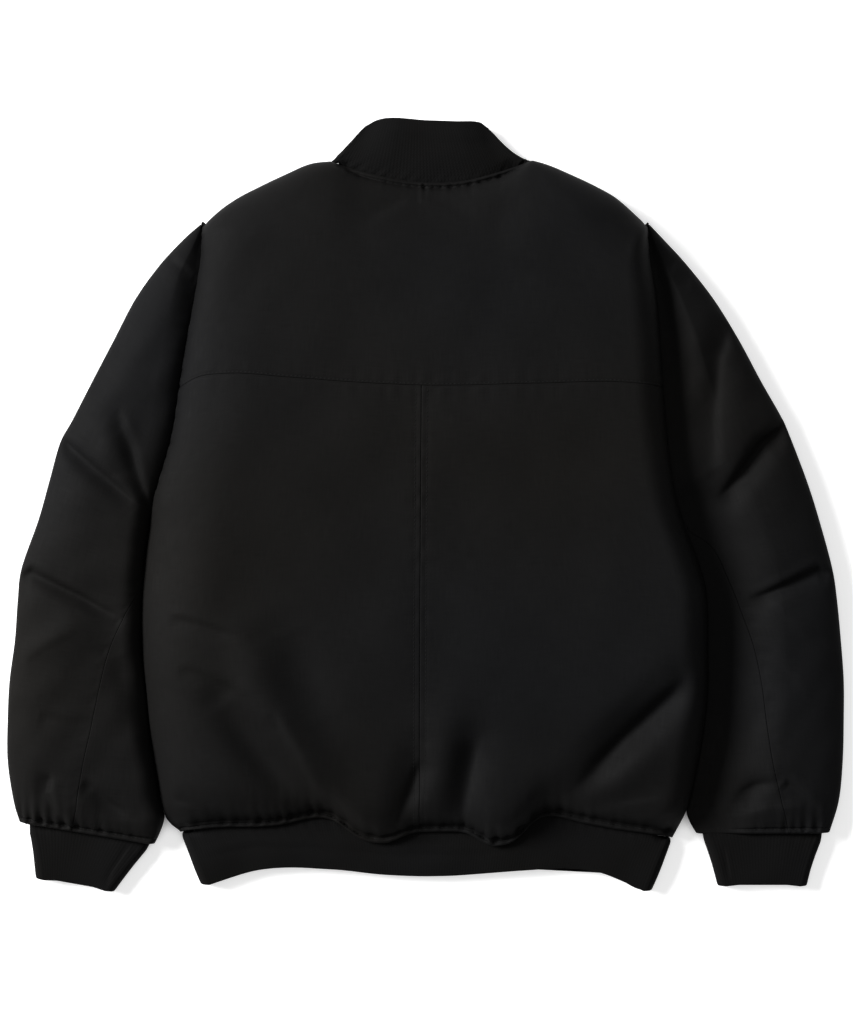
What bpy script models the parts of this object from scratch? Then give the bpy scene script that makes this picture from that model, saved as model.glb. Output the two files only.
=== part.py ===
"""Padded bomber jacket, laid face down on a flat surface with its sleeves beside the body.

X runs from the wearer's left sleeve to the right one, Y from the hem to the collar, Z up.
The back is on top. The fronts lie on the surface beneath it, and the garment is hollow.
Tables and sizes are in millimetres, and `wall` turns them into metres.
Left and right are the wearer's, so the left side is at -X.
"""

import math
from collections import namedtuple

import bpy
import numpy as np

METRE = 1000.0

# Thicknesses and gaps
PADDED = 4.0
RIB = 4.0
SEAM_GAP = 0.3
SIDE_GAP = 1.0

# Body
BODY_CROWN, LOWER_CROWN = 61.0, 56.0
CROWN_FALLS_FROM, CROWN_FALLS_OVER = -150.0, 150.0
SIDE_ROLL = 88.0
SHOULDER_ROLL = 62.0
NECK_ROLL = 92.0
HEM_ROLL = 62.0
FOLD_HEIGHT = 17.0
FOLD_CURL = 15.0
NECK_HEIGHT = 27.0
HEM_RIM = 19.0
HEM_ROUNDING = 3
HEM_SIDE_FADE = 40.0
LEAST_OVERHANG, OVERHANG_LOW = 1.5, 1.6
EDGE_FADE, NECK_BLEND = 30.0, 10.0
CORNER_POWER = 6
SHOULDER_SLOPE = 0.88
YOKE_ROW = 4
LAST_EDGE_ROW = 16

# Sleeves
SLEEVE_ROLL = 62.0
SLEEVE_FOLD = 15.5
SLEEVE_CURL = 14.0
ARMHOLE_ROLL, INNER_ROLL = 34.0, 56.0
MOST_CURL, MOST_OUTER_ROLL, MOST_INNER_ROLL = 0.38, 0.6, 0.55
TIP_LIFT, TIP_LIFT_ROWS = 3.0, 0.5
ARMHOLE_STEP = 2.5
ARMHOLE_CLOSES = 6.5
UNDERARM_ROW = 8.0
UNDER_SLEEVE_ROW = 7.5
CUFF_RIM = 19.0
CUFF_DROP_ROW = 15.6
RIM_BLEND = 4.0
FRONT_SEAM_SHARE, FRONT_SEAM_ROWS = 0.42, 5.0
SLEEVE_FOLDS_FROM, SLEEVE_FOLDS_FULL = 17.5, 31.5
LEAST_UNDER = 2.0

# Rib bands
HEM_TOP = 18.0
COLLAR_TOP = 25.0
COLLAR_EDGE = 16.0
CUFF_TOP = 18.0
TUCK = 4.5
BAND_SWELL, BAND_FALL = 2.0, 1.5
TUCK_ENDS = 0.25
HEM_SIDE_IN, HEM_TAPER = 2.0, 22.0
COLLAR_SIDE, COLLAR_SIDE_SEAM = 13.0, 16.0
COLLAR_RISE, COLLAR_INSET = 0.12, 0.2
COLLAR_FRONT_GAP = 1.0

# Centre front and zip
CENTRE_FRONT_X = -2.0
ZIP_OPENING = 5.5
CHAIN_HALF, CHAIN_LOW = 3.0, 0.8
TAPE_HALF, TAPE_THICK = 13.0, 1.0
ZIP_ABOVE_NECK, ZIP_ABOVE_EDGE = 50.0, 8.0
SLIDER_HALF, SLIDER_LONG, SLIDER_LOW, SLIDER_HIGH, SLIDER_CORNER = 4.5, 12.0, 0.4, 6.6, 1.2

# One row per section of a sleeve, from the shoulder tip to the cuff seam: the point of its
# outer fold, the point where it meets the body's side, the height of its crown, the height of
# the body's edge there, and the share of the section between its inner edge and the back seam.
Section = namedtuple("Section", "out_x out_y in_x in_y crown edge seam")
LEFT_SLEEVE = [
    Section(-231, 296, -231, 283, 22, 20, 0),
    Section(-251, 275, -232, 252, 31, 27, 0),
    Section(-276, 248, -238, 213, 37, 29, 0),
    Section(-301, 213, -246, 169, 40, 29, 0),
    Section(-323, 171, -254, 121, 41, 29, 0),
    Section(-345, 129, -262, 71, 41, 29, 0),
    Section(-366, 88, -275, 25, 41, 28, 0),
    Section(-379, 64, -281, 5, 40, 24, 0),
    Section(-390, 25, -286, -24, 40, 17, 0),
    Section(-404, -16, -290, -54, 40, 17, 0),
    Section(-419, -66, -293, -89, 39, 17, 0.02),
    Section(-423, -99, -294, -120, 39, 17, 0.13),
    Section(-427, -141, -293, -157, 39, 17, 0.25),
    Section(-433, -183, -289, -196, 39, 17, 0.33),
    Section(-435, -224, -285, -237, 39, 17, 0.40),
    Section(-435, -266, -279, -276, 38, 17, 0.48),
    Section(-429, -307, -270, -323, 36, 17, 0.57),
    Section(-421, -330, -281, -353, 33, 17, 0.61),
]
RIGHT_SLEEVE = [
    Section(231, 296, 231, 283, 22, 20, 0),
    Section(248, 275, 233, 252, 31, 27, 0),
    Section(271, 250, 239, 213, 37, 29, 0),
    Section(300, 213, 243, 169, 40, 29, 0),
    Section(326, 171, 246, 121, 41, 29, 0),
    Section(348, 129, 250, 71, 41, 29, 0),
    Section(368, 93, 256, 25, 41, 28, 0),
    Section(377, 76, 261, 3, 40, 24, 0),
    Section(395, 25, 270, -24, 40, 17, 0),
    Section(408, -16, 280, -50, 40, 17, 0.14),
    Section(422, -66, 290, -83, 39, 17, 0.19),
    Section(427, -99, 293, -112, 39, 17, 0.25),
    Section(431, -141, 293, -151, 39, 17, 0.34),
    Section(434, -183, 293, -191, 39, 17, 0.39),
    Section(435, -224, 289, -231, 39, 17, 0.44),
    Section(434, -266, 282, -271, 38, 17, 0.51),
    Section(430, -307, 271, -318, 36, 17, 0.62),
    Section(420, -341, 282, -342, 33, 17, 0.69),
]
LEFT_TIP, RIGHT_TIP = (-229.8, 289.6), (229.8, 289.6)
LEFT_HEM, RIGHT_HEM = (-254, -340), (257, -346)

# Lines across the back, as points (x, y) with rising x
LEFT_SHOULDER = [(-229.8, 289.6), (-195.5, 316.7), (-172.6, 329.2), (-146.6, 341.6), (-116.5, 354.1),
                 (-98, 356.2)]
RIGHT_SHOULDER = [(111, 357.2), (122.7, 354.1), (152.9, 341.6), (178.9, 329.2), (199.7, 316.7),
                  (229.8, 289.6)]
NECK_SEAM = [(-98, 356.2), (-60, 343.7), (-31, 337), (-1.5, 333.5), (42, 335.4), (71, 342.7), (111, 357.2)]
YOKE_SEAM = [(-254, 121), (-233, 131), (-207, 134), (-137, 130), (-69, 125), (-1, 122), (115, 124),
             (207, 125), (246, 121)]
HEM_SEAM = [(-254, -340), (-205, -333), (-157, -330), (-109, -324), (-60, -332), (-18, -338), (42, -338),
            (90, -330), (124, -322), (168, -328), (224, -339), (257, -346)]
CENTRE_SEAM = [(-346, -6), (-100, -5), (124, -3.5), (334, 1)]

# Where the padded back hangs over the hem seam: middle, half width and reach
Overhang = namedtuple("Overhang", "x half reach")
OVERHANGS = [Overhang(-54, 32, 17), Overhang(80, 29, 21), Overhang(-165, 46, 3), Overhang(180, 46, 3)]

# Rib bands: (x, y) of each edge as it lies. The sides of each band are folds.
COLLAR_EDGE_LINE = [(-58, 396), (-44, 400.4), (5, 399), (31, 398), (58, 398), (70, 389)]
HEM_EDGE_LINE = [(-229, -395), (-204, -388), (-177, -381), (-98, -380), (-38, -384), (19, -385), (104, -382),
                 (150, -381), (184, -385), (212, -395), (233, -401)]
FRONT_NECK_DROP, FRONT_COLLAR_DROP = 90.0, 66.0
FRONT_HEM_Y = -333.0
HEM_DEPTH = 47.0
NECK_STEPS = 6

# Cuffs: the corner points of the band as it lies, at the sleeve and at its free edge, and how
# far the seam bows up between them
Cuff = namedtuple("Cuff", "top_out top_in end_out end_in bow")
LEFT_CUFF = Cuff((-418, -333), (-286, -356), (-401, -391), (-323, -402), 12)
RIGHT_CUFF = Cuff((412, -345), (288, -343), (393, -396), (304, -395), 9)

# Folds in the cloth: height (troughs are negative), half width, and the line that each follows.
# A fold keeps FOLD_END of its height at its two ends.
FOLD_END, FOLD_TIP, FOLD_FADE = 0.35, 0.03, 0.7
Fold = namedtuple("Fold", "height width line")
BODY_FOLDS = [
    Fold(8, 24, [(-189, -136), (-170, -187), (-139, -242), (-99, -300), (-72, -338)]),
    Fold(-13, 20, [(-209, -202), (-170, -253), (-143, -281), (-107, -308)]),
    Fold(-4, 22, [(-143, -128), (-103, -222)]),
    Fold(-8, 17, [(-2, -246), (-17, -289), (-37, -324)]),
    Fold(4, 22, [(26, -206), (6, -269)]),
    Fold(-9, 18, [(53, -242), (45, -277), (37, -324)]),
    Fold(-14, 20, [(264, -183), (233, -214), (202, -242), (171, -277), (128, -312)]),
    Fold(6, 24, [(240, -240), (200, -268), (150, -300)]),
    Fold(-4, 18, [(163, -312), (194, -300), (241, -296)]),
    Fold(-3, 26, [(-144, 300), (-195, 198)]),
]
LEFT_SLEEVE_FOLDS = [
    Fold(-8, 14, [(-379, 66), (-356, 50), (-337, 34), (-315, 15), (-299, -1)]),
    Fold(-8, 14, [(-421, -72), (-385, -81), (-356, -95), (-315, -116)]),
    Fold(-7, 15, [(-315, 75), (-302, 56), (-294, 24), (-284, -8)]),
    Fold(4, 18, [(-335, 90), (-318, 30)]),
    Fold(4, 16, [(-401, -160), (-353, -116)]),
    Fold(-6, 16, [(-318, -154), (-286, -237)]),
    Fold(-4, 14, [(-344, -295), (-328, -309), (-305, -322)]),
]
RIGHT_SLEEVE_FOLDS = [
    Fold(-11, 15, [(376, 80), (349, 63), (329, 34), (303, 2)]),
    Fold(-8, 14, [(418, -70), (380, -80), (335, -100)]),
    Fold(-5, 16, [(313, 173), (303, 156), (300, 31)]),
    Fold(-5, 14, [(318, -312), (339, -292), (361, -286)]),
]

# How finely each surface is divided
BODY_HALF_COLUMNS = 15
FRONT_FLAT_COLUMNS = 2
FRONT_CURL_STEPS = [0, 1.5, 5.5, FOLD_CURL]
SLEEVE_TOP, SLEEVE_FOLD_STEPS, SLEEVE_BOTTOM = 8, 3, 3
UNDER_BOTTOM, UNDER_FOLD_STEPS, UNDER_TOP = 2, 4, 4
# Columns of a sleeve's top crowd towards its outer fold, and less so where its back seam is
# at its inner edge.
EDGE_CROWDING, EDGE_SPREAD, SEAM_AT_EDGE = 1.25, 0.35, 0.05
BAND_ROWS = 4
BAND_TURN = 6
HEM_COLUMNS, HEM_FRONT_COLUMNS = 22, 7
COLLAR_COLUMNS = 14
CUFF_TOP_COLUMNS, CUFF_UNDER_COLUMNS = 8, 6
HALF_ROWS = np.arange(0, 16.01, 0.5)
LAST_BODY_ROWS = [16.35, 16.65, 16.85, 17]
LAST_SLEEVE_ROWS = [16.3, 16.6, 16.82, 17]

# Colour, roughness
CLOTH = ((0.0085, 0.0082, 0.0080, 1.0), 0.62)
RIB_KNIT = ((0.0070, 0.0068, 0.0068, 1.0), 0.85)
ZIP_METAL = ((0.10, 0.10, 0.10, 1.0), 0.40)


# Curves and folds

def spline(rows, at):
    """Reads a smooth curve through the rows of a table at whole or fractional row numbers."""
    rows = np.asarray(rows, float)
    at = np.clip(np.asarray(at, float), 0, len(rows) - 1)
    first = np.minimum(at.astype(int), len(rows) - 2)
    t = at - first
    if rows.ndim > 1:
        t = t[..., None]
    ends = np.concatenate([[2 * rows[0] - rows[1]], rows, [2 * rows[-1] - rows[-2]]])
    a, b, c, d = (ends[first + k] for k in range(4))
    return b + 0.5 * t * (c - a + t * (2 * a - 5 * b + 4 * c - d + t * (3 * (b - c) + d - a)))


def line_at(points, x):
    """Height y of a smooth line through points of rising x."""
    xs, ys = np.array(points, float).T
    slopes = np.gradient(ys, xs)
    x = np.clip(x, xs[0], xs[-1])
    i = np.clip(np.searchsorted(xs, x) - 1, 0, len(xs) - 2)
    span = xs[i + 1] - xs[i]
    t = (x - xs[i]) / span
    rise = ys[i + 1] - ys[i]
    return (ys[i] + t * span * slopes[i]
            + t * t * (3 * rise - span * (2 * slopes[i] + slopes[i + 1]))
            + t ** 3 * (span * (slopes[i] + slopes[i + 1]) - 2 * rise))


def smoothstep(t):
    t = np.clip(t, 0, 1)
    return t * t * (3 - 2 * t)


def rolled(distance, radius):
    """Rises from 0 at a fold to 1 a radius away, as steep at the fold as a quarter circle."""
    t = np.clip(distance / radius, 0, 1)
    return np.sqrt(1 - (1 - t) ** 2)


def distance_to_line(x, y, line):
    """Distance from each point to a line of points, and how far along it the nearest point is."""
    best = np.full(np.shape(x), np.inf)
    share = np.zeros(np.shape(x))
    count = len(line) - 1
    for i, ((ax, ay), (bx, by)) in enumerate(zip(line, line[1:])):
        dx, dy = bx - ax, by - ay
        t = np.clip(((x - ax) * dx + (y - ay) * dy) / (dx * dx + dy * dy), 0, 1)
        d = np.hypot(x - ax - t * dx, y - ay - t * dy)
        nearer = d < best
        share = np.where(nearer, (i + t) / count, share)
        best = np.where(nearer, d, best)
    return best, share


def fold_heights(x, y, folds):
    """The sum of the folds' heights, each fading towards its ends."""
    total = np.zeros(np.shape(x))
    for fold in folds:
        away, share = distance_to_line(x, y, fold.line)
        fade = np.sin(np.pi * np.clip(share, FOLD_TIP, 1 - FOLD_TIP)) ** FOLD_FADE
        fade = FOLD_END + (1 - FOLD_END) * fade
        total += fold.height * fade * np.exp(-(away / fold.width) ** 2)
    return total


# Grids and walls

def unit(vectors):
    return vectors / np.maximum(np.linalg.norm(vectors, axis=-1, keepdims=True), 1e-9)


def grid_normals(grid, ring=False):
    """Unit normals of a grid of points. A ring's last column is next to its first."""
    if ring:
        grid = np.concatenate([grid[:, -1:], grid, grid[:, :1]], axis=1)
    normals = np.cross(np.gradient(grid, axis=1), np.gradient(grid, axis=0))
    if ring:
        normals = normals[:, 1:-1]
    return unit(normals)


def edge_normals(points, outward):
    """Level unit vectors square to an edge, on the side that outward points to."""
    along = np.gradient(points, axis=0)
    level = np.stack([along[:, 1], -along[:, 0], np.zeros(len(along))], axis=1)
    sign = np.sign((level * np.asarray(outward, float)).sum(axis=1))
    return unit(level * sign[:, None])


def blended(first, second, share):
    """Unit vectors that turn from the first to the second as share goes from 0 to 1."""
    return unit(first * (1 - share[:, None]) + second * share[:, None])


def pulled_in(grid, first_row=0.0, last_row=0.0, first_column=0.0, last_column=0.0):
    """The grid with its borders moved inwards by these distances, to part it from its neighbours."""
    grid = grid.copy()
    grid[0] += first_row * unit(grid[1] - grid[0])
    grid[-1] += last_row * unit(grid[-2] - grid[-1])
    grid[:, 0] += first_column * unit(grid[:, 1] - grid[:, 0])
    grid[:, -1] += last_column * unit(grid[:, -2] - grid[:, -1])
    return grid


def finish(name, colour_and_roughness, metallic=0.0):
    material = bpy.data.materials.new(name)
    material.use_nodes = True
    shader = material.node_tree.nodes["Principled BSDF"]
    colour, roughness = colour_and_roughness
    shader.inputs["Base Color"].default_value = colour
    shader.inputs["Roughness"].default_value = roughness
    shader.inputs["Metallic"].default_value = metallic
    return material


def add_mesh(name, points, faces, material):
    """Makes an object of a closed mesh given in millimetres, facing out."""
    points = np.asarray(points, float) / METRE
    volume = 0.0
    for face in faces:
        a = points[face[0]]
        for b, c in zip(face[1:], face[2:]):
            volume += np.dot(a, np.cross(points[b], points[c]))
    if volume < 0:
        faces = [face[::-1] for face in faces]
    mesh = bpy.data.meshes.new(name)
    mesh.from_pydata([tuple(p) for p in points], [], [tuple(f) for f in faces])
    mesh.materials.append(material)
    mesh.shade_smooth()
    piece = bpy.data.objects.new(name, mesh)
    bpy.context.scene.collection.objects.link(piece)
    return piece


def wall(name, outer, normals, thickness, material, ring=False):
    """A closed wall between a grid of outer points and the same grid moved in by its thickness."""
    rows, columns = outer.shape[:2]
    inner = outer - normals * thickness
    points = np.concatenate([outer.reshape(-1, 3), inner.reshape(-1, 3)])
    inside = rows * columns

    def index(row, column):
        return row * columns + column % columns

    faces = []

    def close_edge(a, b, order):
        for triangle in ([a, b, inside + b], [a, inside + b, inside + a]):
            faces.append(triangle[::order])

    last = columns if ring else columns - 1
    for row in range(rows - 1):
        for column in range(last):
            quad = [index(row, column), index(row, column + 1),
                    index(row + 1, column + 1), index(row + 1, column)]
            faces.append(quad)
            faces.append([inside + corner for corner in quad[::-1]])
    for column in range(last):
        close_edge(index(0, column), index(0, column + 1), -1)
        close_edge(index(rows - 1, column), index(rows - 1, column + 1), 1)
    if not ring:
        for row in range(rows - 1):
            close_edge(index(row, 0), index(row + 1, 0), 1)
            close_edge(index(row, columns - 1), index(row + 1, columns - 1), -1)
    return add_mesh(name, points, faces, material)


# Body

def body_edge(sections, tip, hem, at):
    """Side edge of the body: the shoulder tip, the sleeve's inner points, then the hem corner."""
    points = [tip] + [(row.in_x, row.in_y) for row in sections[:LAST_EDGE_ROW + 1]] + [hem]
    heights = [FOLD_HEIGHT] + [row.edge for row in sections[:LAST_EDGE_ROW + 1]] + [FOLD_HEIGHT]
    edge = spline(np.column_stack([points, heights]), at + 1)
    edge[..., 2] = np.maximum(edge[..., 2], FOLD_HEIGHT)
    return edge


def body_rows():
    """Row numbers down the body: -1 is the shoulder line, and the last rows turn under at the hem."""
    return np.concatenate([[-1], HALF_ROWS, LAST_BODY_ROWS])


def half_columns(count):
    """Shares from the side edge (0) to the centre (1), closer together at the edge."""
    t = np.arange(count + 1) / count
    return 0.4 * t + 0.6 * (1 - np.cos(t * math.pi / 2))


def snapped(shares, knee):
    """The same shares with the one nearest to knee moved onto it."""
    nearest = shares[np.argmin(abs(shares - knee))]
    return np.interp(shares, [0, nearest, 1], [0, knee, 1])


def top_line(x):
    """Shoulder and neck line of the back."""
    y = line_at(NECK_SEAM, x)
    y = np.where(x < NECK_SEAM[0][0], line_at(LEFT_SHOULDER, x), y)
    return np.where(x > NECK_SEAM[-1][0], line_at(RIGHT_SHOULDER, x), y)


def top_heights(x):
    """Height of the back's upper edge: low at the shoulder folds, higher along the neck seam."""
    inside = np.minimum(x - NECK_SEAM[0][0], NECK_SEAM[-1][0] - x)
    return FOLD_HEIGHT + (NECK_HEIGHT - FOLD_HEIGHT) * smoothstep(inside / EDGE_FADE)


def body_height(x, y, left, right, top_y):
    """Height of the padded back over the surface, before its hem turns under."""
    falls = smoothstep((CROWN_FALLS_FROM - y) / CROWN_FALLS_OVER)
    crown = BODY_CROWN + (LOWER_CROWN - BODY_CROWN) * falls
    from_left, from_right = x - left[:, None, 0], right[:, None, 0] - x
    on_neck = smoothstep(np.minimum(x - NECK_SEAM[0][0], NECK_SEAM[-1][0] - x) / EDGE_FADE + 0.5)
    top_roll = SHOULDER_ROLL + (NECK_ROLL - SHOULDER_ROLL) * on_neck
    drops = [
        (crown - left[:, None, 2]) * (1 - rolled(from_left, SIDE_ROLL)),
        (crown - right[:, None, 2]) * (1 - rolled(from_right, SIDE_ROLL)),
        (crown - top_heights(x)) * (1 - rolled(SHOULDER_SLOPE * (top_y - y), top_roll)),
    ]
    drop = sum(abs(d) ** CORNER_POWER for d in drops) ** (1 / CORNER_POWER)
    inside = smoothstep(np.minimum(from_left, from_right) / EDGE_FADE)
    inside = inside * smoothstep((top_y - y) / EDGE_FADE)
    return crown - drop + inside * fold_heights(x, y, BODY_FOLDS)


def overhang(x):
    return LEAST_OVERHANG + sum(o.reach * np.exp(-((x - o.x) / o.half) ** 4) for o in OVERHANGS)


def back_grid():
    """Grid of the whole back, one row per body row, with the centre seam in the middle column."""
    rows = body_rows()
    left = body_edge(LEFT_SLEEVE, LEFT_TIP, LEFT_HEM, rows)
    right = body_edge(RIGHT_SLEEVE, RIGHT_TIP, RIGHT_HEM, rows)
    shares = half_columns(BODY_HALF_COLUMNS)
    even = np.concatenate([shares, 2 - shares[-2::-1]])
    left_knee = (NECK_SEAM[0][0] - LEFT_TIP[0]) / -LEFT_TIP[0]
    right_knee = (RIGHT_TIP[0] - NECK_SEAM[-1][0]) / RIGHT_TIP[0]
    top = np.concatenate([snapped(shares, left_knee), 2 - snapped(shares, right_knee)[-2::-1]])
    yoke = np.flatnonzero(rows == YOKE_ROW)[0]
    grid = np.zeros((len(rows), len(even), 3))
    for r in range(len(rows)):
        centre = np.interp((left[r, 1] + right[r, 1]) / 2, *np.array(CENTRE_SEAM).T)
        down = np.clip((left[0, 1] - left[r, 1]) / (left[0, 1] - left[yoke, 1]), 0, 1)
        share = top + (even - top) * down
        grid[r, :, 0] = np.where(share <= 1, left[r, 0] + (centre - left[r, 0]) * share,
                                 centre + (right[r, 0] - centre) * (share - 1))
    x = grid[:, :, 0]
    guides = [top_line(x), line_at(YOKE_SEAM, x), line_at(HEM_SEAM, x)]
    across = even / 2
    for r in range(len(rows)):
        upper, lower = (0, 1) if r <= yoke else (1, 2)
        a, b = (0, yoke) if r <= yoke else (yoke, len(rows) - 1)
        shares_down = [(edge[r, 1] - edge[a, 1]) / (edge[b, 1] - edge[a, 1]) for edge in (left, right)]
        down = shares_down[0] + (shares_down[1] - shares_down[0]) * across
        grid[r, :, 1] = guides[upper][r] * (1 - down) + guides[lower][r] * down
    y = grid[:, :, 1]
    grid[:, :, 2] = body_height(x, y, left, right, guides[0])
    turned_under(grid, guides[2])
    grid[0, :, 2] = top_heights(x[0])
    grid[:, 0], grid[:, -1] = left, right
    return grid, yoke


def turned_under(grid, hem_y):
    """Rounds the lowest rows down to the hem seam and lets them hang over it."""
    x, y, z = grid[:, :, 0], grid[:, :, 1].copy(), grid[:, :, 2]
    side = smoothstep(np.minimum(x - x[:, :1], x[:, -1:] - x) / HEM_SIDE_FADE)
    down = np.clip(1 - (y - hem_y) / HEM_ROLL, 0, 1)
    drop = 1 - np.sqrt(1 - down ** HEM_ROUNDING)
    grid[:, :, 2] = z - (z - HEM_RIM) * drop
    grid[:, :, 1] = y - overhang(x) * side * np.sin(np.pi * down ** OVERHANG_LOW)


def curled(distance, height, radius):
    """Height of cloth that lies flat and curls up to an edge like a quarter ellipse."""
    return height * (1 - rolled(distance, radius))


def front_top(x, sign):
    """Upper edge of a front: the shoulder, then a neckline that is a quarter ellipse."""
    neck = NECK_SEAM[0] if sign < 0 else NECK_SEAM[-1]
    shoulder = line_at(LEFT_SHOULDER if sign < 0 else RIGHT_SHOULDER, x)
    centre = CENTRE_FRONT_X + sign * ZIP_OPENING
    share = np.clip((x - centre) / (neck[0] - centre), 0, 1)
    neckline = neck[1] - FRONT_NECK_DROP * np.sqrt(np.clip(1 - share ** 2, 0, 1))
    return np.where(sign * x > abs(neck[0]), shoulder, neckline)


def front_hem(x, sign):
    """Lower edge of a front, straight from the side seam to the zip."""
    corner = LEFT_HEM if sign < 0 else RIGHT_HEM
    centre = CENTRE_FRONT_X + sign * ZIP_OPENING
    share = np.clip((x - corner[0]) / (centre - corner[0]), 0, 1)
    return corner[1] + (FRONT_HEM_Y - corner[1]) * share


def front_grid(edge, sign):
    """Grid of a front: it rests on the surface and curls up to the back at side and shoulder."""
    centre = CENTRE_FRONT_X + sign * ZIP_OPENING
    neck = NECK_SEAM[0] if sign < 0 else NECK_SEAM[-1]
    shoulder = LEFT_SHOULDER if sign < 0 else RIGHT_SHOULDER
    rows = body_rows()
    neckline = 1 - np.sin(np.linspace(math.pi / 2, 0, NECK_STEPS + 1))
    columns = len(FRONT_CURL_STEPS) - 1 + FRONT_FLAT_COLUMNS + len(neckline)
    grid = np.zeros((len(edge), columns, 3))
    for r, point in enumerate(edge):
        reach = abs(point[0] - centre)
        at_neck = (abs(point[0]) - abs(neck[0])) / reach
        curl = np.array(FRONT_CURL_STEPS) / reach
        flat = np.linspace(curl[-1], at_neck, FRONT_FLAT_COLUMNS + 1)[1:-1]
        shares = np.concatenate([curl, flat, at_neck + (1 - at_neck) * neckline])
        x = point[0] + (centre - point[0]) * shares
        down = (point[1] - edge[0, 1]) / (edge[-1, 1] - edge[0, 1])
        y = front_top(x, sign) * (1 - down) + front_hem(x, sign) * down
        closes = smoothstep((rows[r] - ARMHOLE_CLOSES) / (UNDERARM_ROW - ARMHOLE_CLOSES))
        side = curled(shares * reach, FOLD_HEIGHT * closes, FOLD_CURL)
        beside_neck = sign * x < abs(neck[0]) - 0.01
        from_shoulder = np.where(beside_neck, np.hypot(x - neck[0], y - neck[1]),
                                 SHOULDER_SLOPE * (line_at(shoulder, x) - y))
        z = np.maximum(side, curled(from_shoulder, FOLD_HEIGHT, FOLD_CURL))
        grid[r] = np.stack([x, y, z], axis=1)
    return grid


def make_body(cloth):
    grid, yoke = back_grid()
    normals = grid_normals(grid)
    normals *= np.sign(normals[..., 2].mean())
    rows = body_rows()
    left_edge, right_edge = grid[:, 0].copy(), grid[:, -1].copy()
    folded = smoothstep((rows - ARMHOLE_CLOSES) / (UNDERARM_ROW - ARMHOLE_CLOSES))
    for column, edge, outward in ((0, left_edge, (-1, 0, 0)), (-1, right_edge, (1, 0, 0))):
        level = edge_normals(edge, outward)
        normals[:, column] = blended(normals[:, column], level, folded)
    x = grid[0, :, 0]
    on_neck = smoothstep(np.minimum(x - NECK_SEAM[0][0], NECK_SEAM[-1][0] - x) / NECK_BLEND)
    normals[0] = blended(edge_normals(grid[0], (0, 1, 0)), normals[0], on_neck)
    normals[-1] = edge_normals(grid[-1], (0, -1, 0))
    half = SEAM_GAP / 2
    yoke_piece = pulled_in(grid[:yoke + 1], last_row=half)
    wall("back_yoke", yoke_piece, normals[:yoke + 1], PADDED, cloth)
    middle = BODY_HALF_COLUMNS
    lower, lower_normals = grid[yoke:], normals[yoke:]
    wall("back_left", pulled_in(lower[:, :middle + 1], first_row=half, last_column=half),
         lower_normals[:, :middle + 1], PADDED, cloth)
    wall("back_right", pulled_in(lower[:, middle:], first_row=half, first_column=half),
         lower_normals[:, middle:], PADDED, cloth)
    for name, edge, sign in (("front_left", left_edge, -1), ("front_right", right_edge, 1)):
        front = front_grid(edge, sign)
        down = grid_normals(front)
        down *= -np.sign(down[..., 2].mean())
        level = edge_normals(front[:, 0], (sign, 0, 0))
        down[:, 0] = blended(down[:, 0], level, folded)
        neck_x = NECK_SEAM[0 if sign < 0 else -1][0]
        on_neck = smoothstep((abs(neck_x) - sign * front[0, :, 0]) / NECK_BLEND)
        down[0] = blended(edge_normals(front[0], (0, 1, 0)), down[0], on_neck)
        front[:, :, 2] = np.minimum(front[:, :, 2], FOLD_HEIGHT - SEAM_GAP)
        wall(name, front, down, PADDED, cloth)


# Sleeves

def sleeve_ring(row, lift, close, end):
    """One section of a sleeve as points (r, z): r runs from the outer fold to the inner edge.

    It starts at the back seam on top, goes out over the outer fold and back along the surface
    to the front seam, then round the inner fold and up to the back seam again.
    """
    width = math.hypot(row.in_x - row.out_x, row.in_y - row.out_y)
    curl = min(SLEEVE_CURL, MOST_CURL * width)
    inner_curl = curl * close
    outer_roll = min(SLEEVE_ROLL, MOST_OUTER_ROLL * width)
    inner_roll = min(ARMHOLE_ROLL + (INNER_ROLL - ARMHOLE_ROLL) * close, MOST_INNER_ROLL * width)
    edge = row.edge - ARMHOLE_STEP + (SLEEVE_FOLD - row.edge + ARMHOLE_STEP) * close
    under_seam = width - max(width * row.seam, LEAST_UNDER)
    seam = under_seam if close == 1 else width
    front_seam = width - inner_curl - (width - 2 * curl) * FRONT_SEAM_SHARE * end

    def top(r):
        outer_drop = (row.crown - SLEEVE_FOLD) * (1 - rolled(r, outer_roll))
        inner_drop = (row.crown - edge) * (1 - rolled(width - r, inner_roll))
        drop = outer_drop ** CORNER_POWER + inner_drop ** CORNER_POWER
        return row.crown - drop ** (1 / CORNER_POWER)

    out = np.linspace(0, 1, SLEEVE_TOP + 1)
    r_top = seam * (1 - out) ** EDGE_CROWDING
    if row.seam < SEAM_AT_EDGE:
        r_top += seam * EDGE_SPREAD * (0.5 + 0.5 * np.cos(np.pi * out) - (1 - out) ** EDGE_CROWDING)
    turn = np.linspace(0, 1, SLEEVE_FOLD_STEPS + 1)[1:] * math.pi / 2
    fold = [(curl * (1 - math.cos(a)), lift + (SLEEVE_FOLD - lift) * (1 - math.sin(a))) for a in turn]
    bottom = [(r, lift) for r in np.linspace(curl, front_seam, SLEEVE_BOTTOM + 1)[1:]]
    outer = [(r, top(r)) for r in r_top] + fold + bottom
    under = [(r, lift) for r in np.linspace(front_seam, width - inner_curl, UNDER_BOTTOM + 1)]
    high = SLEEVE_FOLD * close
    for a in np.linspace(math.pi / 2, 0, UNDER_FOLD_STEPS + 1)[1:]:
        under.append((width - inner_curl * (1 - math.cos(a)), high * (1 - math.sin(a))))
    under += [(r, top(r) if close == 1 else high) for r in np.linspace(width, under_seam, UNDER_TOP + 1)[1:]]
    return np.array(outer), np.array(under)


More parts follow.
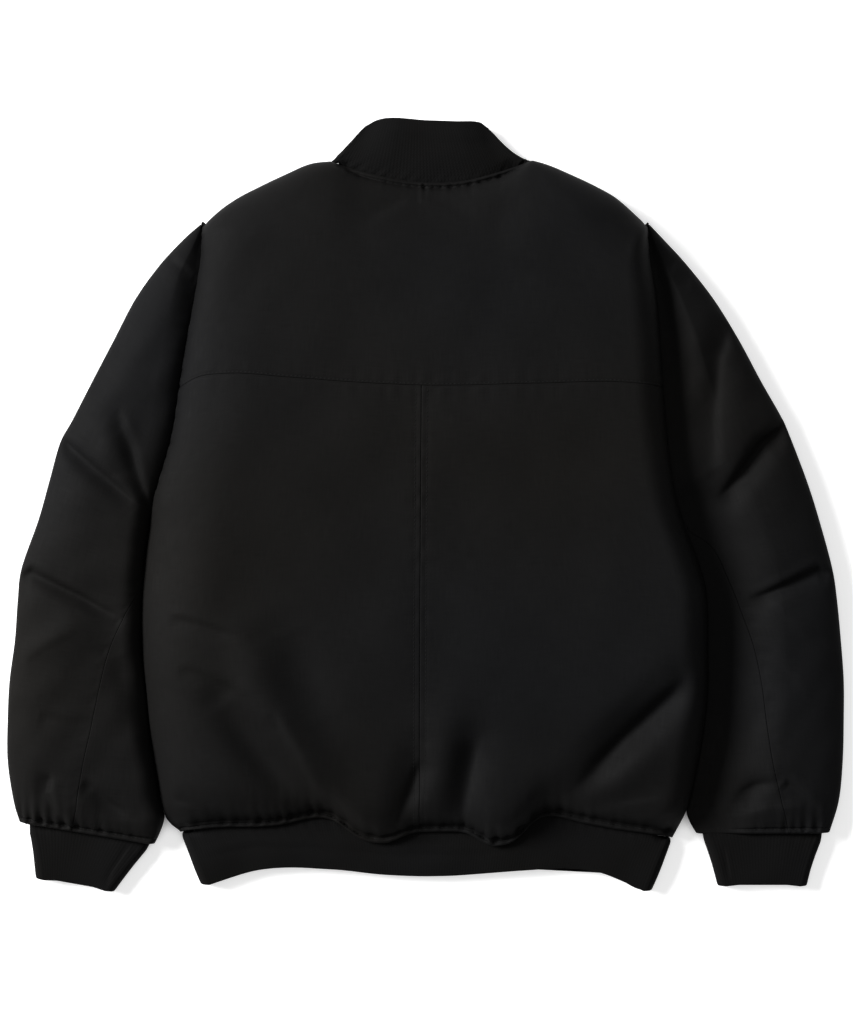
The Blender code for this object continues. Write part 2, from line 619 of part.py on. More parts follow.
def inner_edge(sections, sign, s):
    """Where a sleeve's inner edge lies: along the body's side, then on to the cuff seam."""
    tip, hem = (LEFT_TIP, LEFT_HEM) if sign < 0 else (RIGHT_TIP, RIGHT_HEM)
    x, y, _ = body_edge(sections, tip, hem, min(s, LAST_EDGE_ROW))
    past = max(0.0, s - LAST_EDGE_ROW)
    last = sections[-1]
    return x + (last.in_x - x) * past ** 1.5, y + (last.in_y - y) * past


def sleeve_grids(sections, folds, sign):
    table = np.array(sections, float)
    rows = np.concatenate([HALF_ROWS, LAST_SLEEVE_ROWS])
    outers, unders = [], []
    for s in rows:
        row = Section(*spline(table, s))
        close = float(smoothstep((s - ARMHOLE_CLOSES) / (UNDERARM_ROW - ARMHOLE_CLOSES)))
        lift = TIP_LIFT * max(0.0, 1 - s / TIP_LIFT_ROWS)
        end = float(smoothstep((s - UNDER_SLEEVE_ROW + 0.5) / FRONT_SEAM_ROWS))
        gap = SEAM_GAP + (SIDE_GAP - SEAM_GAP) * close
        in_x, in_y = inner_edge(sections, sign, s)
        row = row._replace(in_x=in_x + sign * gap, in_y=in_y, seam=max(row.seam, 0))
        across = unit(np.array([row.in_x - row.out_x, row.in_y - row.out_y]))
        for ring, rings in zip(sleeve_ring(row, lift, close, end), (outers, unders)):
            x = row.out_x + ring[:, 0] * across[0]
            y = row.out_y + ring[:, 0] * across[1]
            rings.append(np.stack([x, y, ring[:, 1]], axis=1))
    outer, under = np.array(outers), np.array(unders)
    for grid in (outer, under):
        x, y, z = (grid[:, :, k] for k in range(3))
        top = smoothstep((z - SLEEVE_FOLDS_FROM) / (SLEEVE_FOLDS_FULL - SLEEVE_FOLDS_FROM))
        grid[:, :, 2] += top * fold_heights(x, y, folds)
        end = np.clip((rows - CUFF_DROP_ROW) / (rows[-1] - CUFF_DROP_ROW), 0, 1)[:, None]
        drop = 1 - np.sqrt(1 - end ** HEM_ROUNDING)
        high = z > CUFF_RIM
        grid[:, :, 2] = np.where(high, z - (z - CUFF_RIM) * drop, z)
    return rows, outer, under


def make_sleeve(side, sections, folds, sign, cloth):
    rows, outer, under = sleeve_grids(sections, folds, sign)
    start = np.flatnonzero(rows >= UNDER_SLEEVE_ROW)[0]
    joined = np.flatnonzero(rows >= UNDERARM_ROW)[0]
    under = under[start:]
    outer_normals, under_normals = grid_normals(outer), grid_normals(under)
    outer_normals *= np.sign(outer_normals[:, 1, 2].mean())
    under_normals *= -np.sign(under_normals[:, 1, 2].mean())
    shared = unit(outer_normals[start:, -1] + under_normals[:, 0])
    outer_normals[start:, -1], under_normals[:, 0] = shared, shared
    shared = unit(outer_normals[joined:, 0] + under_normals[joined - start:, -1])
    outer_normals[joined:, 0], under_normals[joined - start:, -1] = shared, shared
    for grid, normals in ((outer, outer_normals), (under, under_normals)):
        level = edge_normals(grid[-1], (0, -1, 0))
        high = smoothstep((grid[-1, :, 2] - SLEEVE_FOLD + RIM_BLEND) / RIM_BLEND)
        normals[-1] = blended(normals[-1], level, high)
    half = SEAM_GAP / 2
    parted = pulled_in(outer, first_column=half, last_column=half)
    wall(f"sleeve_{side}_outer", parted, outer_normals, PADDED, cloth)
    parted = pulled_in(under, first_column=half, last_column=half)
    wall(f"sleeve_{side}_under", parted, under_normals, PADDED, cloth)


# Rib bands

def turn_angles():
    """Angles of a band's side fold, from the surface up, without its two ends."""
    return np.linspace(-math.pi / 2, math.pi / 2, BAND_TURN)[1:-1]


def tucked(v):
    """How far a band's seam edge is tucked up under the cloth, at share v of its depth."""
    return TUCK * max(0.0, 1 - v / TUCK_ENDS)


def band_path(back, front_left, front_right):
    """Joins the stretches of a band into one line from the centre front round the back."""
    turns = []
    for sign, (x, y, top) in ((-1, back[0]), (1, back[-1])):
        radius = top / 2
        turns.append(np.array([(x + sign * radius * math.cos(a), y, radius + radius * math.sin(a))
                               for a in turn_angles()]))
    return np.concatenate([front_left[::-1], turns[0], back, turns[1][::-1], front_right])


def hem_rib_grid():
    across = np.linspace(0, 1, HEM_COLUMNS + 1)
    rows = []
    for v in np.linspace(0, 1, BAND_ROWS + 1):
        inset = HEM_SIDE_IN + HEM_TAPER * v
        left, right = LEFT_HEM[0] + inset, RIGHT_HEM[0] - inset
        top = HEM_TOP + BAND_SWELL * math.sin(math.pi * v) - BAND_FALL * v
        radius = top / 2
        x = left + radius + (right - left - 2 * radius) * across
        seam_x = LEFT_HEM[0] + HEM_SIDE_IN + (RIGHT_HEM[0] - LEFT_HEM[0] - 2 * HEM_SIDE_IN) * across
        edge_x = HEM_EDGE_LINE[0][0] + (HEM_EDGE_LINE[-1][0] - HEM_EDGE_LINE[0][0]) * across
        y = line_at(HEM_SEAM, seam_x) * (1 - v) + line_at(HEM_EDGE_LINE, edge_x) * v
        tuck = tucked(v) * smoothstep(np.minimum(across, 1 - across) * HEM_COLUMNS)
        back = np.stack([x, y + tuck - 3 * SEAM_GAP * (1 - v), np.full(len(x), top)], axis=1)
        fronts = []
        for sign, start in ((-1, back[0]), (1, back[-1])):
            centre = CENTRE_FRONT_X + sign * ZIP_OPENING
            share = np.linspace(0, 1, HEM_FRONT_COLUMNS + 1)
            fx = start[0] + (centre - start[0]) * share
            lower = front_hem(fx, sign) - HEM_DEPTH
            fy = (front_hem(fx, sign) - 2 * SEAM_GAP) * (1 - v) + lower * v
            fy = fy + (start[1] - fy[0]) * (1 - smoothstep(abs(fx - start[0]) / HEM_SIDE_FADE)) * v
            fronts.append(np.stack([fx, fy, np.zeros(len(fx))], axis=1))
        rows.append(band_path(back, *fronts))
    return np.array(rows)


def collar_rib_grid():
    across = np.linspace(0, 1, COLLAR_COLUMNS + 1)
    from_side = np.minimum(across, 1 - across)
    rows = []
    seam_left, seam_right = NECK_SEAM[0], NECK_SEAM[-1]
    edge_left, edge_right = COLLAR_EDGE_LINE[0], COLLAR_EDGE_LINE[-1]
    for v in np.linspace(0, 1, BAND_ROWS + 1):
        seam_x = seam_left[0] + (seam_right[0] - seam_left[0]) * across
        edge_x = edge_left[0] + (edge_right[0] - edge_left[0]) * across
        low = COLLAR_SIDE_SEAM + (COLLAR_SIDE - COLLAR_SIDE_SEAM) * v
        high = COLLAR_TOP + (COLLAR_EDGE - COLLAR_TOP) * v
        top = low + (high - low) * smoothstep(from_side / COLLAR_RISE)
        inset = np.where(across < 0.5, 1, -1) * low / 2 * (1 - smoothstep(from_side / COLLAR_INSET))
        x = seam_x * (1 - v) + edge_x * v + inset
        y = (line_at(NECK_SEAM, seam_x) + 2 * SEAM_GAP) * (1 - v) + line_at(COLLAR_EDGE_LINE, edge_x) * v
        back = np.stack([x, y, top], axis=1)
        fronts = []
        for sign, start in ((-1, back[0]), (1, back[-1])):
            centre = CENTRE_FRONT_X + sign * ZIP_OPENING
            angle = np.linspace(math.pi / 2, 0, NECK_STEPS + 1)
            fx = centre + (start[0] - centre) * np.sin(angle)
            drop = (FRONT_NECK_DROP - COLLAR_FRONT_GAP) * (1 - v) + FRONT_COLLAR_DROP * v
            fy = start[1] - drop * np.cos(angle)
            fronts.append(np.stack([fx, fy, np.zeros(len(fx))], axis=1))
        rows.append(band_path(back, *fronts))
    return np.array(rows)


def cuff_grid(cuff):
    rows = []
    for v in np.linspace(0, 1, BAND_ROWS + 1):
        out = np.array(cuff.top_out) * (1 - v) + np.array(cuff.end_out) * v
        inn = np.array(cuff.top_in) * (1 - v) + np.array(cuff.end_in) * v
        along = inn - out
        width = np.linalg.norm(along)
        along /= width
        up = np.array([-along[1], along[0]])
        up *= np.sign(up[1])
        top = CUFF_TOP - BAND_FALL * v
        radius = top / 2
        ring = []
        for t in np.linspace(0, 1, CUFF_TOP_COLUMNS + 1):
            rise = (cuff.bow * (1 - v) ** 2 + tucked(v)) * math.sin(math.pi * t)
            ring.append([*(out + along * (radius + (width - 2 * radius) * t) + up * rise), top])
        for a in turn_angles()[::-1]:
            ring.append([*(inn - along * radius * (1 - math.cos(a))), radius + radius * math.sin(a)])
        for t in np.linspace(1, 0, CUFF_UNDER_COLUMNS + 1):
            ring.append([*(out + along * (radius + (width - 2 * radius) * t)), 0])
        for a in turn_angles():
            ring.append([*(out + along * radius * (1 - math.cos(a))), radius + radius * math.sin(a)])
        rows.append(ring)
    return np.array(rows)


def make_ribs(knit):
    for name, grid in (("hem_rib", hem_rib_grid()), ("collar_rib", collar_rib_grid())):
        normals = grid_normals(grid)
        middle = grid.shape[1] // 2
        normals *= np.sign(normals[:, middle, 2].mean())
        wall(name, grid, normals, RIB, knit)
    for name, cuff in (("cuff_left", LEFT_CUFF), ("cuff_right", RIGHT_CUFF)):
        grid = cuff_grid(cuff)
        normals = grid_normals(grid, ring=True)
        normals *= np.sign(normals[:, CUFF_TOP_COLUMNS // 2, 2].mean())
        wall(name, grid, normals, RIB, knit, ring=True)


# Zip

def bar(name, outline, y_low, y_high, material):
    """A straight bar along Y with the given outline in X and Z."""
    count = len(outline)
    points = [(CENTRE_FRONT_X + x, y, z) for y in (y_low, y_high) for x, z in outline]
    faces = [list(range(count)), list(range(2 * count - 1, count - 1, -1))]
    for i in range(count):
        j = (i + 1) % count
        faces.append([j, i, count + i, count + j])
    return add_mesh(name, points, faces, material)


def make_zip(tape, metal):
    low = PADDED + SEAM_GAP
    half = [(TAPE_HALF, low + TAPE_THICK), (TAPE_HALF, low), (CHAIN_HALF, low), (CHAIN_HALF, CHAIN_LOW)]
    outline = half + [(-x, z) for x, z in half[::-1]]
    neck_y = (NECK_SEAM[0][1] + NECK_SEAM[-1][1]) / 2
    top = neck_y - FRONT_NECK_DROP + ZIP_ABOVE_NECK
    bottom = HEM_EDGE_LINE[4][1] + ZIP_ABOVE_EDGE
    bar("zip", outline, bottom, top, tape)
    x, z0, z1, corner = SLIDER_HALF, SLIDER_LOW, SLIDER_HIGH, SLIDER_CORNER
    outline = [(x, z0 + corner), (x, z1 - corner), (x - corner, z1), (corner - x, z1),
               (-x, z1 - corner), (-x, z0 + corner), (corner - x, z0), (x - corner, z0)]
    bar("zip_slider", outline, top + SEAM_GAP, top + SEAM_GAP + SLIDER_LONG, metal)


def main():
    for old in list(bpy.data.objects):
        bpy.data.objects.remove(old, do_unlink=True)
    cloth = finish("padded_cloth", CLOTH)
    knit = finish("rib_knit", RIB_KNIT)
    metal = finish("zip_metal", ZIP_METAL, metallic=1.0)
    make_body(cloth)
    make_sleeve("left", LEFT_SLEEVE, LEFT_SLEEVE_FOLDS, -1, cloth)
    make_sleeve("right", RIGHT_SLEEVE, RIGHT_SLEEVE_FOLDS, 1, cloth)
    make_ribs(knit)
    make_zip(knit, metal)


main()
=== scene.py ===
"""Looks of a black padded bomber jacket that lies face down on a white surface.

The frame's X runs from the left sleeve to the right one, Y from the hem to the collar, Z up.
Each panel is made again on a finer grid than its solid, with its smaller creases, rounded
seams and puckers. The tables are in millimetres, and `add_mesh` turns them into metres.
"""

import math
from collections import namedtuple

import bmesh
import bpy
import numpy as np
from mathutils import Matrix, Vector


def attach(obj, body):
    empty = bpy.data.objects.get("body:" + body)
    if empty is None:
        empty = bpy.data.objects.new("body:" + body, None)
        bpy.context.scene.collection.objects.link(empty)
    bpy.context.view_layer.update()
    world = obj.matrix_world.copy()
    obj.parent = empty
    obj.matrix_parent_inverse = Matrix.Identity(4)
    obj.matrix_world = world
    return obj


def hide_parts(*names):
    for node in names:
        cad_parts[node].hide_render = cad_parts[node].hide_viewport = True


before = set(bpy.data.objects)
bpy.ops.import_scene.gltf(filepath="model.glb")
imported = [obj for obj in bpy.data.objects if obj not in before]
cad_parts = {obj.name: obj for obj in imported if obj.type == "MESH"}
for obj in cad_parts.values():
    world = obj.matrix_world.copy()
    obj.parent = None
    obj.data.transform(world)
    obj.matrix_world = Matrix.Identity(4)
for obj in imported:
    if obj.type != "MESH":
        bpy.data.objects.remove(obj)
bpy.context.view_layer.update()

METRE = 1000.0

# Thicknesses and gaps
PADDED = 4.0
RIB = 4.0
SEAM_GAP = 0.3

# Body: its crown, how far in each edge has rolled down, and the heights of its edges. Where a value
# has two sides, -1 is the left one and 1 the right one.
BODY_CROWN, LOWER_CROWN = 61.0, 56.0
CROWN_FALLS_FROM, CROWN_FALLS_OVER = -150.0, 150.0
SIDE_ROLLS = {-1: 82.0, 1: 31.0}
SHOULDER_ROLL = 62.0
NECK_ROLL, NECK_STRIP, NECK_FILLET = 92.0, 5.2, 3.0
SMOOTHING, MOST_SMOOTHING, SMOOTHING_TAPS = 1.2, 46.0, (-1, -0.5, 0, 0.5, 1)
HEM_ROLL, HEM_ROLL_ROWS = 62.0, 1.4
FOLD_HEIGHT = 17.0
FOLD_CURL = 15.0
NECK_HEIGHT = 27.0

# Hem: the strip along its seam, how steeply the back falls to it, and how it hangs over the rib
HEM_LIP, HEM_LIP_SIDE, LIP_RISE, LIP_SPREAD, FULL_HANG = 23.5, 17.0, 3.0, 22.0, 8.0
HEM_ROUNDING, STEEPEST, HANG_SPEED, OVERHANG_POWER = 2.7, 0.91, 1.5, 2.6
STRIP = 7.5
HEM_SIDE_FADE = 40.0
LEAST_OVERHANG, OVERHANG_LOW = 1.5, 1.6

# How far in from the edges folds and changes of height fade, and the rows that have a part of their own
EDGE_FADE, NECK_BLEND, NECK_FADE, STRIP_FADE = 30.0, 10.0, 56.0, 0.7
FRONT_SIDE_FADE, FRONT_ZIP_FADE, FRONT_CURL_SPACING = 50.0, 40.0, 1.8
CORNER_POWER = 6
SHOULDER_SLOPE = 0.88
YOKE_ROW = 4
LAST_ROW = 17
LAST_EDGE_ROW = 16

# Sleeves: how far in each edge has rolled down, also as a share of the section's width, the step down
# beside the body, the rows where a part starts, and the strip along the cuff's seam
SLEEVE_ROLL = 62.0
SLEEVE_FOLD = 15.5
SLEEVE_CURL = 14.0
ARMHOLE_ROLLS, INNER_ROLLS = {-1: 27.0, 1: 64.0}, {-1: 20.0, 1: 84.0}
MOST_CURL, MOST_OUTER_ROLL, MOST_INNER_ROLL = 0.38, 0.6, 0.58
TIP_LIFT, TIP_LIFT_ROWS = 3.0, 0.5
ARMHOLE_STEPS, STEP_ROWS = {-1: 2.5, 1: 6.0}, 2.5
VALLEY_POWER, TIP_ROWS = 1.6, 3.5
CROWN_CUTS = {-1: 0.0, 1: 4.0}
ARMHOLE_CLOSES = 6.5
UNDERARM_ROW = 8.0
UNDER_SLEEVE_ROW = 7.5
CUFF_LIP, CUFF_INSET_POWER = 23.5, 1.5
CUFF_DROP_ROW = 15.6
FRONT_SEAM_SHARE, FRONT_SEAM_ROWS, FRONT_SEAM_LEAD = 0.42, 5.0, 0.5
SLEEVE_FOLDS_FROM, SLEEVE_FOLDS_FULL = 17.5, 31.5
LEAST_UNDER = 2.0

# Rib bands: their heights, how they rise and fall, and how their seam edges duck under the cloth
HEM_TOP = 18.0
COLLAR_TOP = 22.0
COLLAR_EDGE = 16.0
CUFF_TOP = 18.0
BAND_SWELL, BAND_FALL = 2.0, 1.5
DUCK_ENDS, DUCK_UP, DUCK_DOWN = 0.14, 8.0, 5.5
HEM_SIDE_IN, HEM_TAPER, SIDE_SHARE = -1.5, 23.0, 0.045
COLLAR_SIDE, COLLAR_SIDE_SEAM = 13.0, 16.0
COLLAR_RISE, COLLAR_INSET = 0.3, 0.2
COLLAR_FRONT_GAP = 1.0
COLLAR_MARGIN, COLLAR_SWELL_POWER = 0.05, 0.8
COLLAR_DUCK, COLLAR_DUCK_ENDS = 5.0, 0.12

# Centre front and zip: half of the opening, the chain, the tapes, and how far they reach
CENTRE_FRONT_X = -2.0
ZIP_OPENING = 5.5
CHAIN_HALF, CHAIN_LOW = 3.0, 0.8
TAPE_HALF, TAPE_THICK, TAPE_SPACING, TAPE_ROW_SPACING = 13.0, 1.0, 1.6, 8.0
ZIP_ABOVE_NECK, ZIP_ABOVE_EDGE = 50.0, 8.0

# One row per section of a sleeve, from the shoulder tip to the cuff seam: the point of its
# outer fold, the point where it meets the body's side, the height of its crown, the height of
# the body's edge there, and the share of the section between its inner edge and the back seam.
Section = namedtuple("Section", "out_x out_y in_x in_y crown edge seam")
LEFT_SLEEVE = [
    Section(-232.5, 291.5, -231, 283, 20, 20, 0),
    Section(-251, 275, -232, 252, 31, 27, 0),
    Section(-276, 248, -238, 213, 37, 29, 0),
    Section(-301, 213, -246, 169, 40, 29, 0),
    Section(-323, 171, -254, 121, 41, 29, 0),
    Section(-345, 129, -262, 71, 41, 29, 0),
    Section(-366, 88, -275, 25, 41, 28, 0),
    Section(-379, 64, -281, 5, 40, 24, 0),
    Section(-390, 25, -286, -24, 40, 17, 0),
    Section(-401.5, -16, -290, -54, 40, 17, 0),
    Section(-419, -66, -293, -89, 39, 17, 0.02),
    Section(-423, -99, -294, -120, 39, 17, 0.13),
    Section(-426, -141, -293, -157, 39, 17, 0.25),
    Section(-431.5, -183, -289, -196, 39, 17, 0.33),
    Section(-433.5, -224, -285, -237, 39, 17, 0.40),
    Section(-433.5, -266, -279, -276, 38, 17, 0.48),
    Section(-427.5, -307, -270, -323, 36, 17, 0.57),
    Section(-421, -330, -281, -353, 33, 17, 0.61),
]
RIGHT_SLEEVE = [
    Section(232.5, 291.5, 231, 283, 20, 20, 0),
    Section(248, 275, 233, 252, 31, 27, 0),
    Section(271, 250, 239, 213, 37, 29, 0),
    Section(300, 213, 243, 169, 40, 29, 0),
    Section(326, 171, 246, 121, 41, 29, 0),
    Section(348.5, 129, 250, 71, 41, 29, 0),
    Section(369, 93, 256, 25, 41, 28, 0),
    Section(377, 76, 261, 3, 40, 24, 0),
    Section(396.5, 25, 270, -24, 40, 17, 0),
    Section(409.5, -16, 280, -50, 40, 17, 0.14),
    Section(423, -66, 290, -83, 39, 17, 0.19),
    Section(428, -99, 293, -112, 39, 17, 0.25),
    Section(432, -141, 293, -151, 39, 17, 0.34),
    Section(435, -183, 293, -191, 39, 17, 0.39),
    Section(435, -224, 289, -231, 39, 17, 0.44),
    Section(434, -266, 282, -271, 38, 17, 0.51),
    Section(430, -307, 271, -318, 36, 17, 0.62),
    Section(420, -341, 282, -342, 33, 17, 0.69),
]
LEFT_TIP, RIGHT_TIP = (-229.8, 289.6), (229.8, 289.6)
LEFT_HEM, RIGHT_HEM = (-254, -340), (257, -346)

# Lines across the back, as points (x, y) with rising x
LEFT_SHOULDER = [(-229.8, 289.6), (-214, 304.2), (-195.5, 317.2), (-172.6, 329.2), (-146.6, 341.6),
                 (-116.5, 354.1), (-98, 356.2)]
RIGHT_SHOULDER = [(111, 357.2), (122.7, 354.1), (152.9, 341.6), (178.9, 329.2), (197.7, 318.4),
                  (214, 304.6), (229.8, 289.6)]
NECK_SEAM = [(-98, 356.2), (-60, 343.7), (-31, 337), (-1.5, 333.5), (42, 335.4), (71, 342.7), (111, 357.2)]
YOKE_SEAM = [(-254, 121), (-233, 131), (-207, 134), (-137, 130), (-69, 125), (-1, 122), (115, 124),
             (207, 125), (246, 121)]
HEM_SEAM = [(-254, -340), (-205, -333), (-157, -330), (-109, -324), (-60, -332), (-18, -338), (42, -338),
            (90, -330), (124, -322), (168, -328), (224, -339), (257, -346)]
CENTRE_SEAM = [(-346, -6), (-100, -5), (124, -3.5), (334, 1)]

# Where the padded back hangs over the hem seam: middle, half width and reach
Overhang = namedtuple("Overhang", "x half reach")
OVERHANGS = [Overhang(-54, 32, 17), Overhang(80, 29, 21), Overhang(-165, 46, 3), Overhang(180, 46, 3)]

# Rib bands: (x, y) of each edge as it lies. The sides of each band are folds.
COLLAR_EDGE_LINE = [(-68, 394), (-58, 398.6), (-47, 401), (5, 399.4), (31, 398.4), (57, 398.4),
                    (64, 397.2), (72, 392)]
COLLAR_WAIST, COLLAR_WAIST_SIDE, COLLAR_WAIST_LOW = 6.5, 0.25, 0.65
HEM_EDGE_LINE = [(-227, -395.5), (-204, -388), (-177, -380.5), (-98, -379.5), (-38, -385.3),
                 (19, -386.3), (104, -380.5), (150, -378.5), (184, -382.5), (212, -393.5), (230.5, -402)]
FRONT_NECK_DROP, FRONT_COLLAR_DROP = 90.0, 66.0
FRONT_HEM_Y = -333.0
HEM_DEPTH = 42.0
RIB_DEPTH, COLLAR_DEPTH = 56, 66

# Cuffs: the corner points of the band as it lies, at the sleeve and at its free edge, and how
# far the seam bows up between them
Cuff = namedtuple("Cuff", "top_out top_in end_out end_in bow")
LEFT_CUFF = Cuff((-413.5, -333), (-284, -354), (-404, -389), (-324.5, -403), 12)
RIGHT_CUFF = Cuff((415, -343), (287.5, -341), (398, -397), (304.5, -397), 9)
CUFF_HOLLOW, CUFF_END_BOW = 1.2, 3.0

# Folds in the cloth: height (troughs are negative), half width, and the line that each follows.
# A fold keeps FOLD_END of its height at its two ends.
FOLD_END, FOLD_TIP, FOLD_FADE = 0.35, 0.03, 0.7
Fold = namedtuple("Fold", "height width line")
BODY_FOLDS = [
    Fold(8, 24, [(-189, -136), (-170, -187), (-139, -242), (-99, -300), (-72, -338)]),
    Fold(-13, 20, [(-209, -202), (-170, -253), (-143, -281), (-107, -308)]),
    Fold(-4, 22, [(-143, -128), (-103, -222)]),
    Fold(-8, 17, [(-2, -246), (-17, -289), (-37, -324)]),
    Fold(4, 22, [(26, -206), (6, -269)]),
    Fold(-9, 18, [(53, -242), (45, -277), (37, -324)]),
    Fold(-14, 20, [(264, -183), (233, -214), (202, -242), (171, -277), (128, -312)]),
    Fold(6, 24, [(240, -240), (200, -268), (150, -300)]),
    Fold(-4, 18, [(163, -312), (194, -300), (241, -296)]),
    Fold(-3, 26, [(-144, 300), (-195, 198)]),
]
LEFT_SLEEVE_FOLDS = [
    Fold(-4, 14, [(-379, 66), (-356, 50), (-337, 34), (-315, 15), (-299, -1)]),
    Fold(-4, 14, [(-421, -76), (-385, -81), (-356, -95), (-315, -116)]),
    Fold(-3, 11, [(-315, 75), (-302, 56), (-294, 24), (-284, -8)]),
    Fold(4, 18, [(-335, 90), (-318, 30)]),
    Fold(4, 16, [(-401, -160), (-353, -116)]),
    Fold(-6, 16, [(-318, -154), (-286, -237)]),
    Fold(-4, 14, [(-344, -295), (-328, -309), (-305, -322)]),
]
RIGHT_SLEEVE_FOLDS = [
    Fold(-6, 18, [(380, 76), (349, 63), (329, 34), (303, 2)]),
    Fold(-4, 14, [(418, -74), (380, -80), (335, -100)]),
    Fold(-5, 16, [(313, 173), (303, 156), (300, 31)]),
    Fold(-5, 14, [(318, -312), (339, -292), (361, -286)]),
]

# How far a crease takes to start and to end, as shares of its line, and how sharply
CREASE_START, CREASE_END, START_POWER, END_POWER = 0.12, 0.3, 0.7, 0.8

# Slow unevenness of the cloth: the seed of its waves, their length and their height
Unevenness = namedtuple("Unevenness", "seed length height")
BODY_WAVES = Unevenness(3, 70, 0.35)
SLEEVE_WAVES = Unevenness(5, 55, 0.35)
RIB_WAVES = Unevenness(32, 60, 0.3)

# Gathers beside each seam
Gathers = namedtuple("Gathers", "pitch reach height seed")
PUCKERS = {
    "neck": Gathers(9, 9, 1.2, 11), "yoke": Gathers(17, 8, 0.35, 12), "centre": Gathers(23, 7, 0.4, 13),
    "hem": Gathers(12, 14, 2.6, 14), "armhole": Gathers(16, 9, 0.7, 15), "cuff": Gathers(11, 12, 2.4, 21),
    "sleeve": Gathers(15, 8, 0.5, 22), "rib": Gathers(12, 11, 0.6, 31),
}

# How far apart the grid lines are, and how they close up next to an edge
BODY_SPACING, FRONT_SPACING, SLEEVE_SPACING, RIB_SPACING = 3.2, 5.5, 3.1, 4.2
EDGE_STEPS = [0.15, 0.5, 1.0, 1.7, 2.6, 3.8, 5.2, 7.0, 9.2]
FLAT_SPACING = 9.0
BODY_ROW_MM, YOKE_ROW_MM, SLEEVE_ROW_MM = 35.5, 46.0, 40.0
BODY_HALF_MM = 265.0
SLEEVE_TOP_MM, SLEEVE_FLAT_MM, UNDER_FLAT_MM, UNDER_TOP_MM = 175.0, 130.0, 60.0, 80.0
CAD_HALF_COLUMNS = 15

# Seams: how round each piece's edges are, where its topstitching runs, and its puckers
ROUND_REACH, ROUND_SHARE = 2.4, 0.72
TIGHT_REACH, TIGHT_SHARE = 1.2, 0.2
BORDERS = ["first_row", "last_row", "first_column", "last_column"]
FAR = 500.0
TOPSTITCH, CENTRE_TOPSTITCH, YOKE_TOPSTITCH = 5.2, 6.0, 1.7
STITCH_DIP, STITCH_DIP_HALF = 1.2, 1.3
YOKE_DIP, CENTRE_DIP, ARMHOLE_DIP, ARMHOLE_WELT = 0.3, 0.24, 0.4, 0.5
WELT, WELT_BEADS, WELT_PITCH, WELT_WANDER = 0.95, 0.4, 6.5, 19.0
NECK_SEWING_FADE, BORDER_FADE, SLEEVE_TOP_FADE = 12.0, 2.0, 8.0
NECK_STITCH_END = 4.0
STITCH_LENGTH, STITCH_PITCH, STITCH_HALF, STITCH_HIGH = 3.0, 4.3, 0.36, 0.34
THREAD_POINTS, THREAD_SECTIONS = 6, [(-1.0, 0.15), (-0.8, 0.75), (0.0, 1.0), (0.8, 0.75), (1.0, 0.15)]

# Ribs: one wale is four columns of the grid
WALE, WALE_HEIGHT = 2.9, 0.11
WALE_PROFILE = [1.0, 0.0, -1.0, 0.0]
WALE_UNDERNEATH, WALE_SEAM_FADE, WALE_EDGE_FADE, RIB_TOP_FADE = 0.35, 5.0, 4.0, 8.0

# How many wales each band's back has, and how many points a fold's turn has
HEM_WALES, COLLAR_WALES, CUFF_WALES = 170, 56, 30
BAND_TURN = 38
STITCH_ROW = 1.9
FRONT_FLAT_COLUMNS, FRONT_NECK_COLUMNS = 26, 16
SLEEVE_FOLD_STEPS, UNDER_FOLD_STEPS = 10, 10
EDGE_CROWDING = 1.25
THREAD = 0.9 / METRE

# Zip: a tooth's outline as shares of its reach and of its half width, the bead along each tape and
# the slit between the tapes
TOOTH_PITCH, TOOTH_HALF, TOOTH_REACH = 2.6, 0.85, 0.45
TOOTH = [(-1.0, 0.62), (-0.45, 1.0), (0.35, 0.8), (0.55, 0.5), (1.0, 0.78), (1.25, 0.45)]
TOOTH_FOOT, TOOTH_BEVEL, TOOTH_CROWN = 0.05, 0.35, 0.8
BEAD_HIGH, BEAD_OUT, BEAD_HALF, SLIT_HALF = 0.5, 0.4, 0.6, 0.25

# The slider's blocks, in millimetres from the centre front, its end of the chain and the surface. A
# block's far end is its taper times as wide.
Block = namedtuple("Block", "x half y_from y_to z_from z_to taper bevel")
SLIDER_BLOCKS = [
    Block(0, 3.6, 0, 12, 0.4, 1.9, 1.25, 0.5),
    Block(0, 3.6, 0, 12, 5.2, 6.6, 1.25, 0.5),
    Block(0, 1.1, 7.2, 11.4, 1.3, 5.7, 1, 0.3),
    Block(-2.9, 0.55, 0, 8.4, 1.3, 5.7, 1, 0.2),
    Block(2.9, 0.55, 0, 8.4, 1.3, 5.7, 1, 0.2),
    Block(0, 2.4, -16, 2.5, 0.12, 0.75, 0.75, 0.25),
    Block(0, 1.3, 1.2, 4.2, 0.15, 0.8, 1, 0.2),
]

# A crease's steep side, under its lip, and its gentle side, as shares of its width
STEEP, GENTLE, LIP_AT = 0.6, 1.7, 1.5

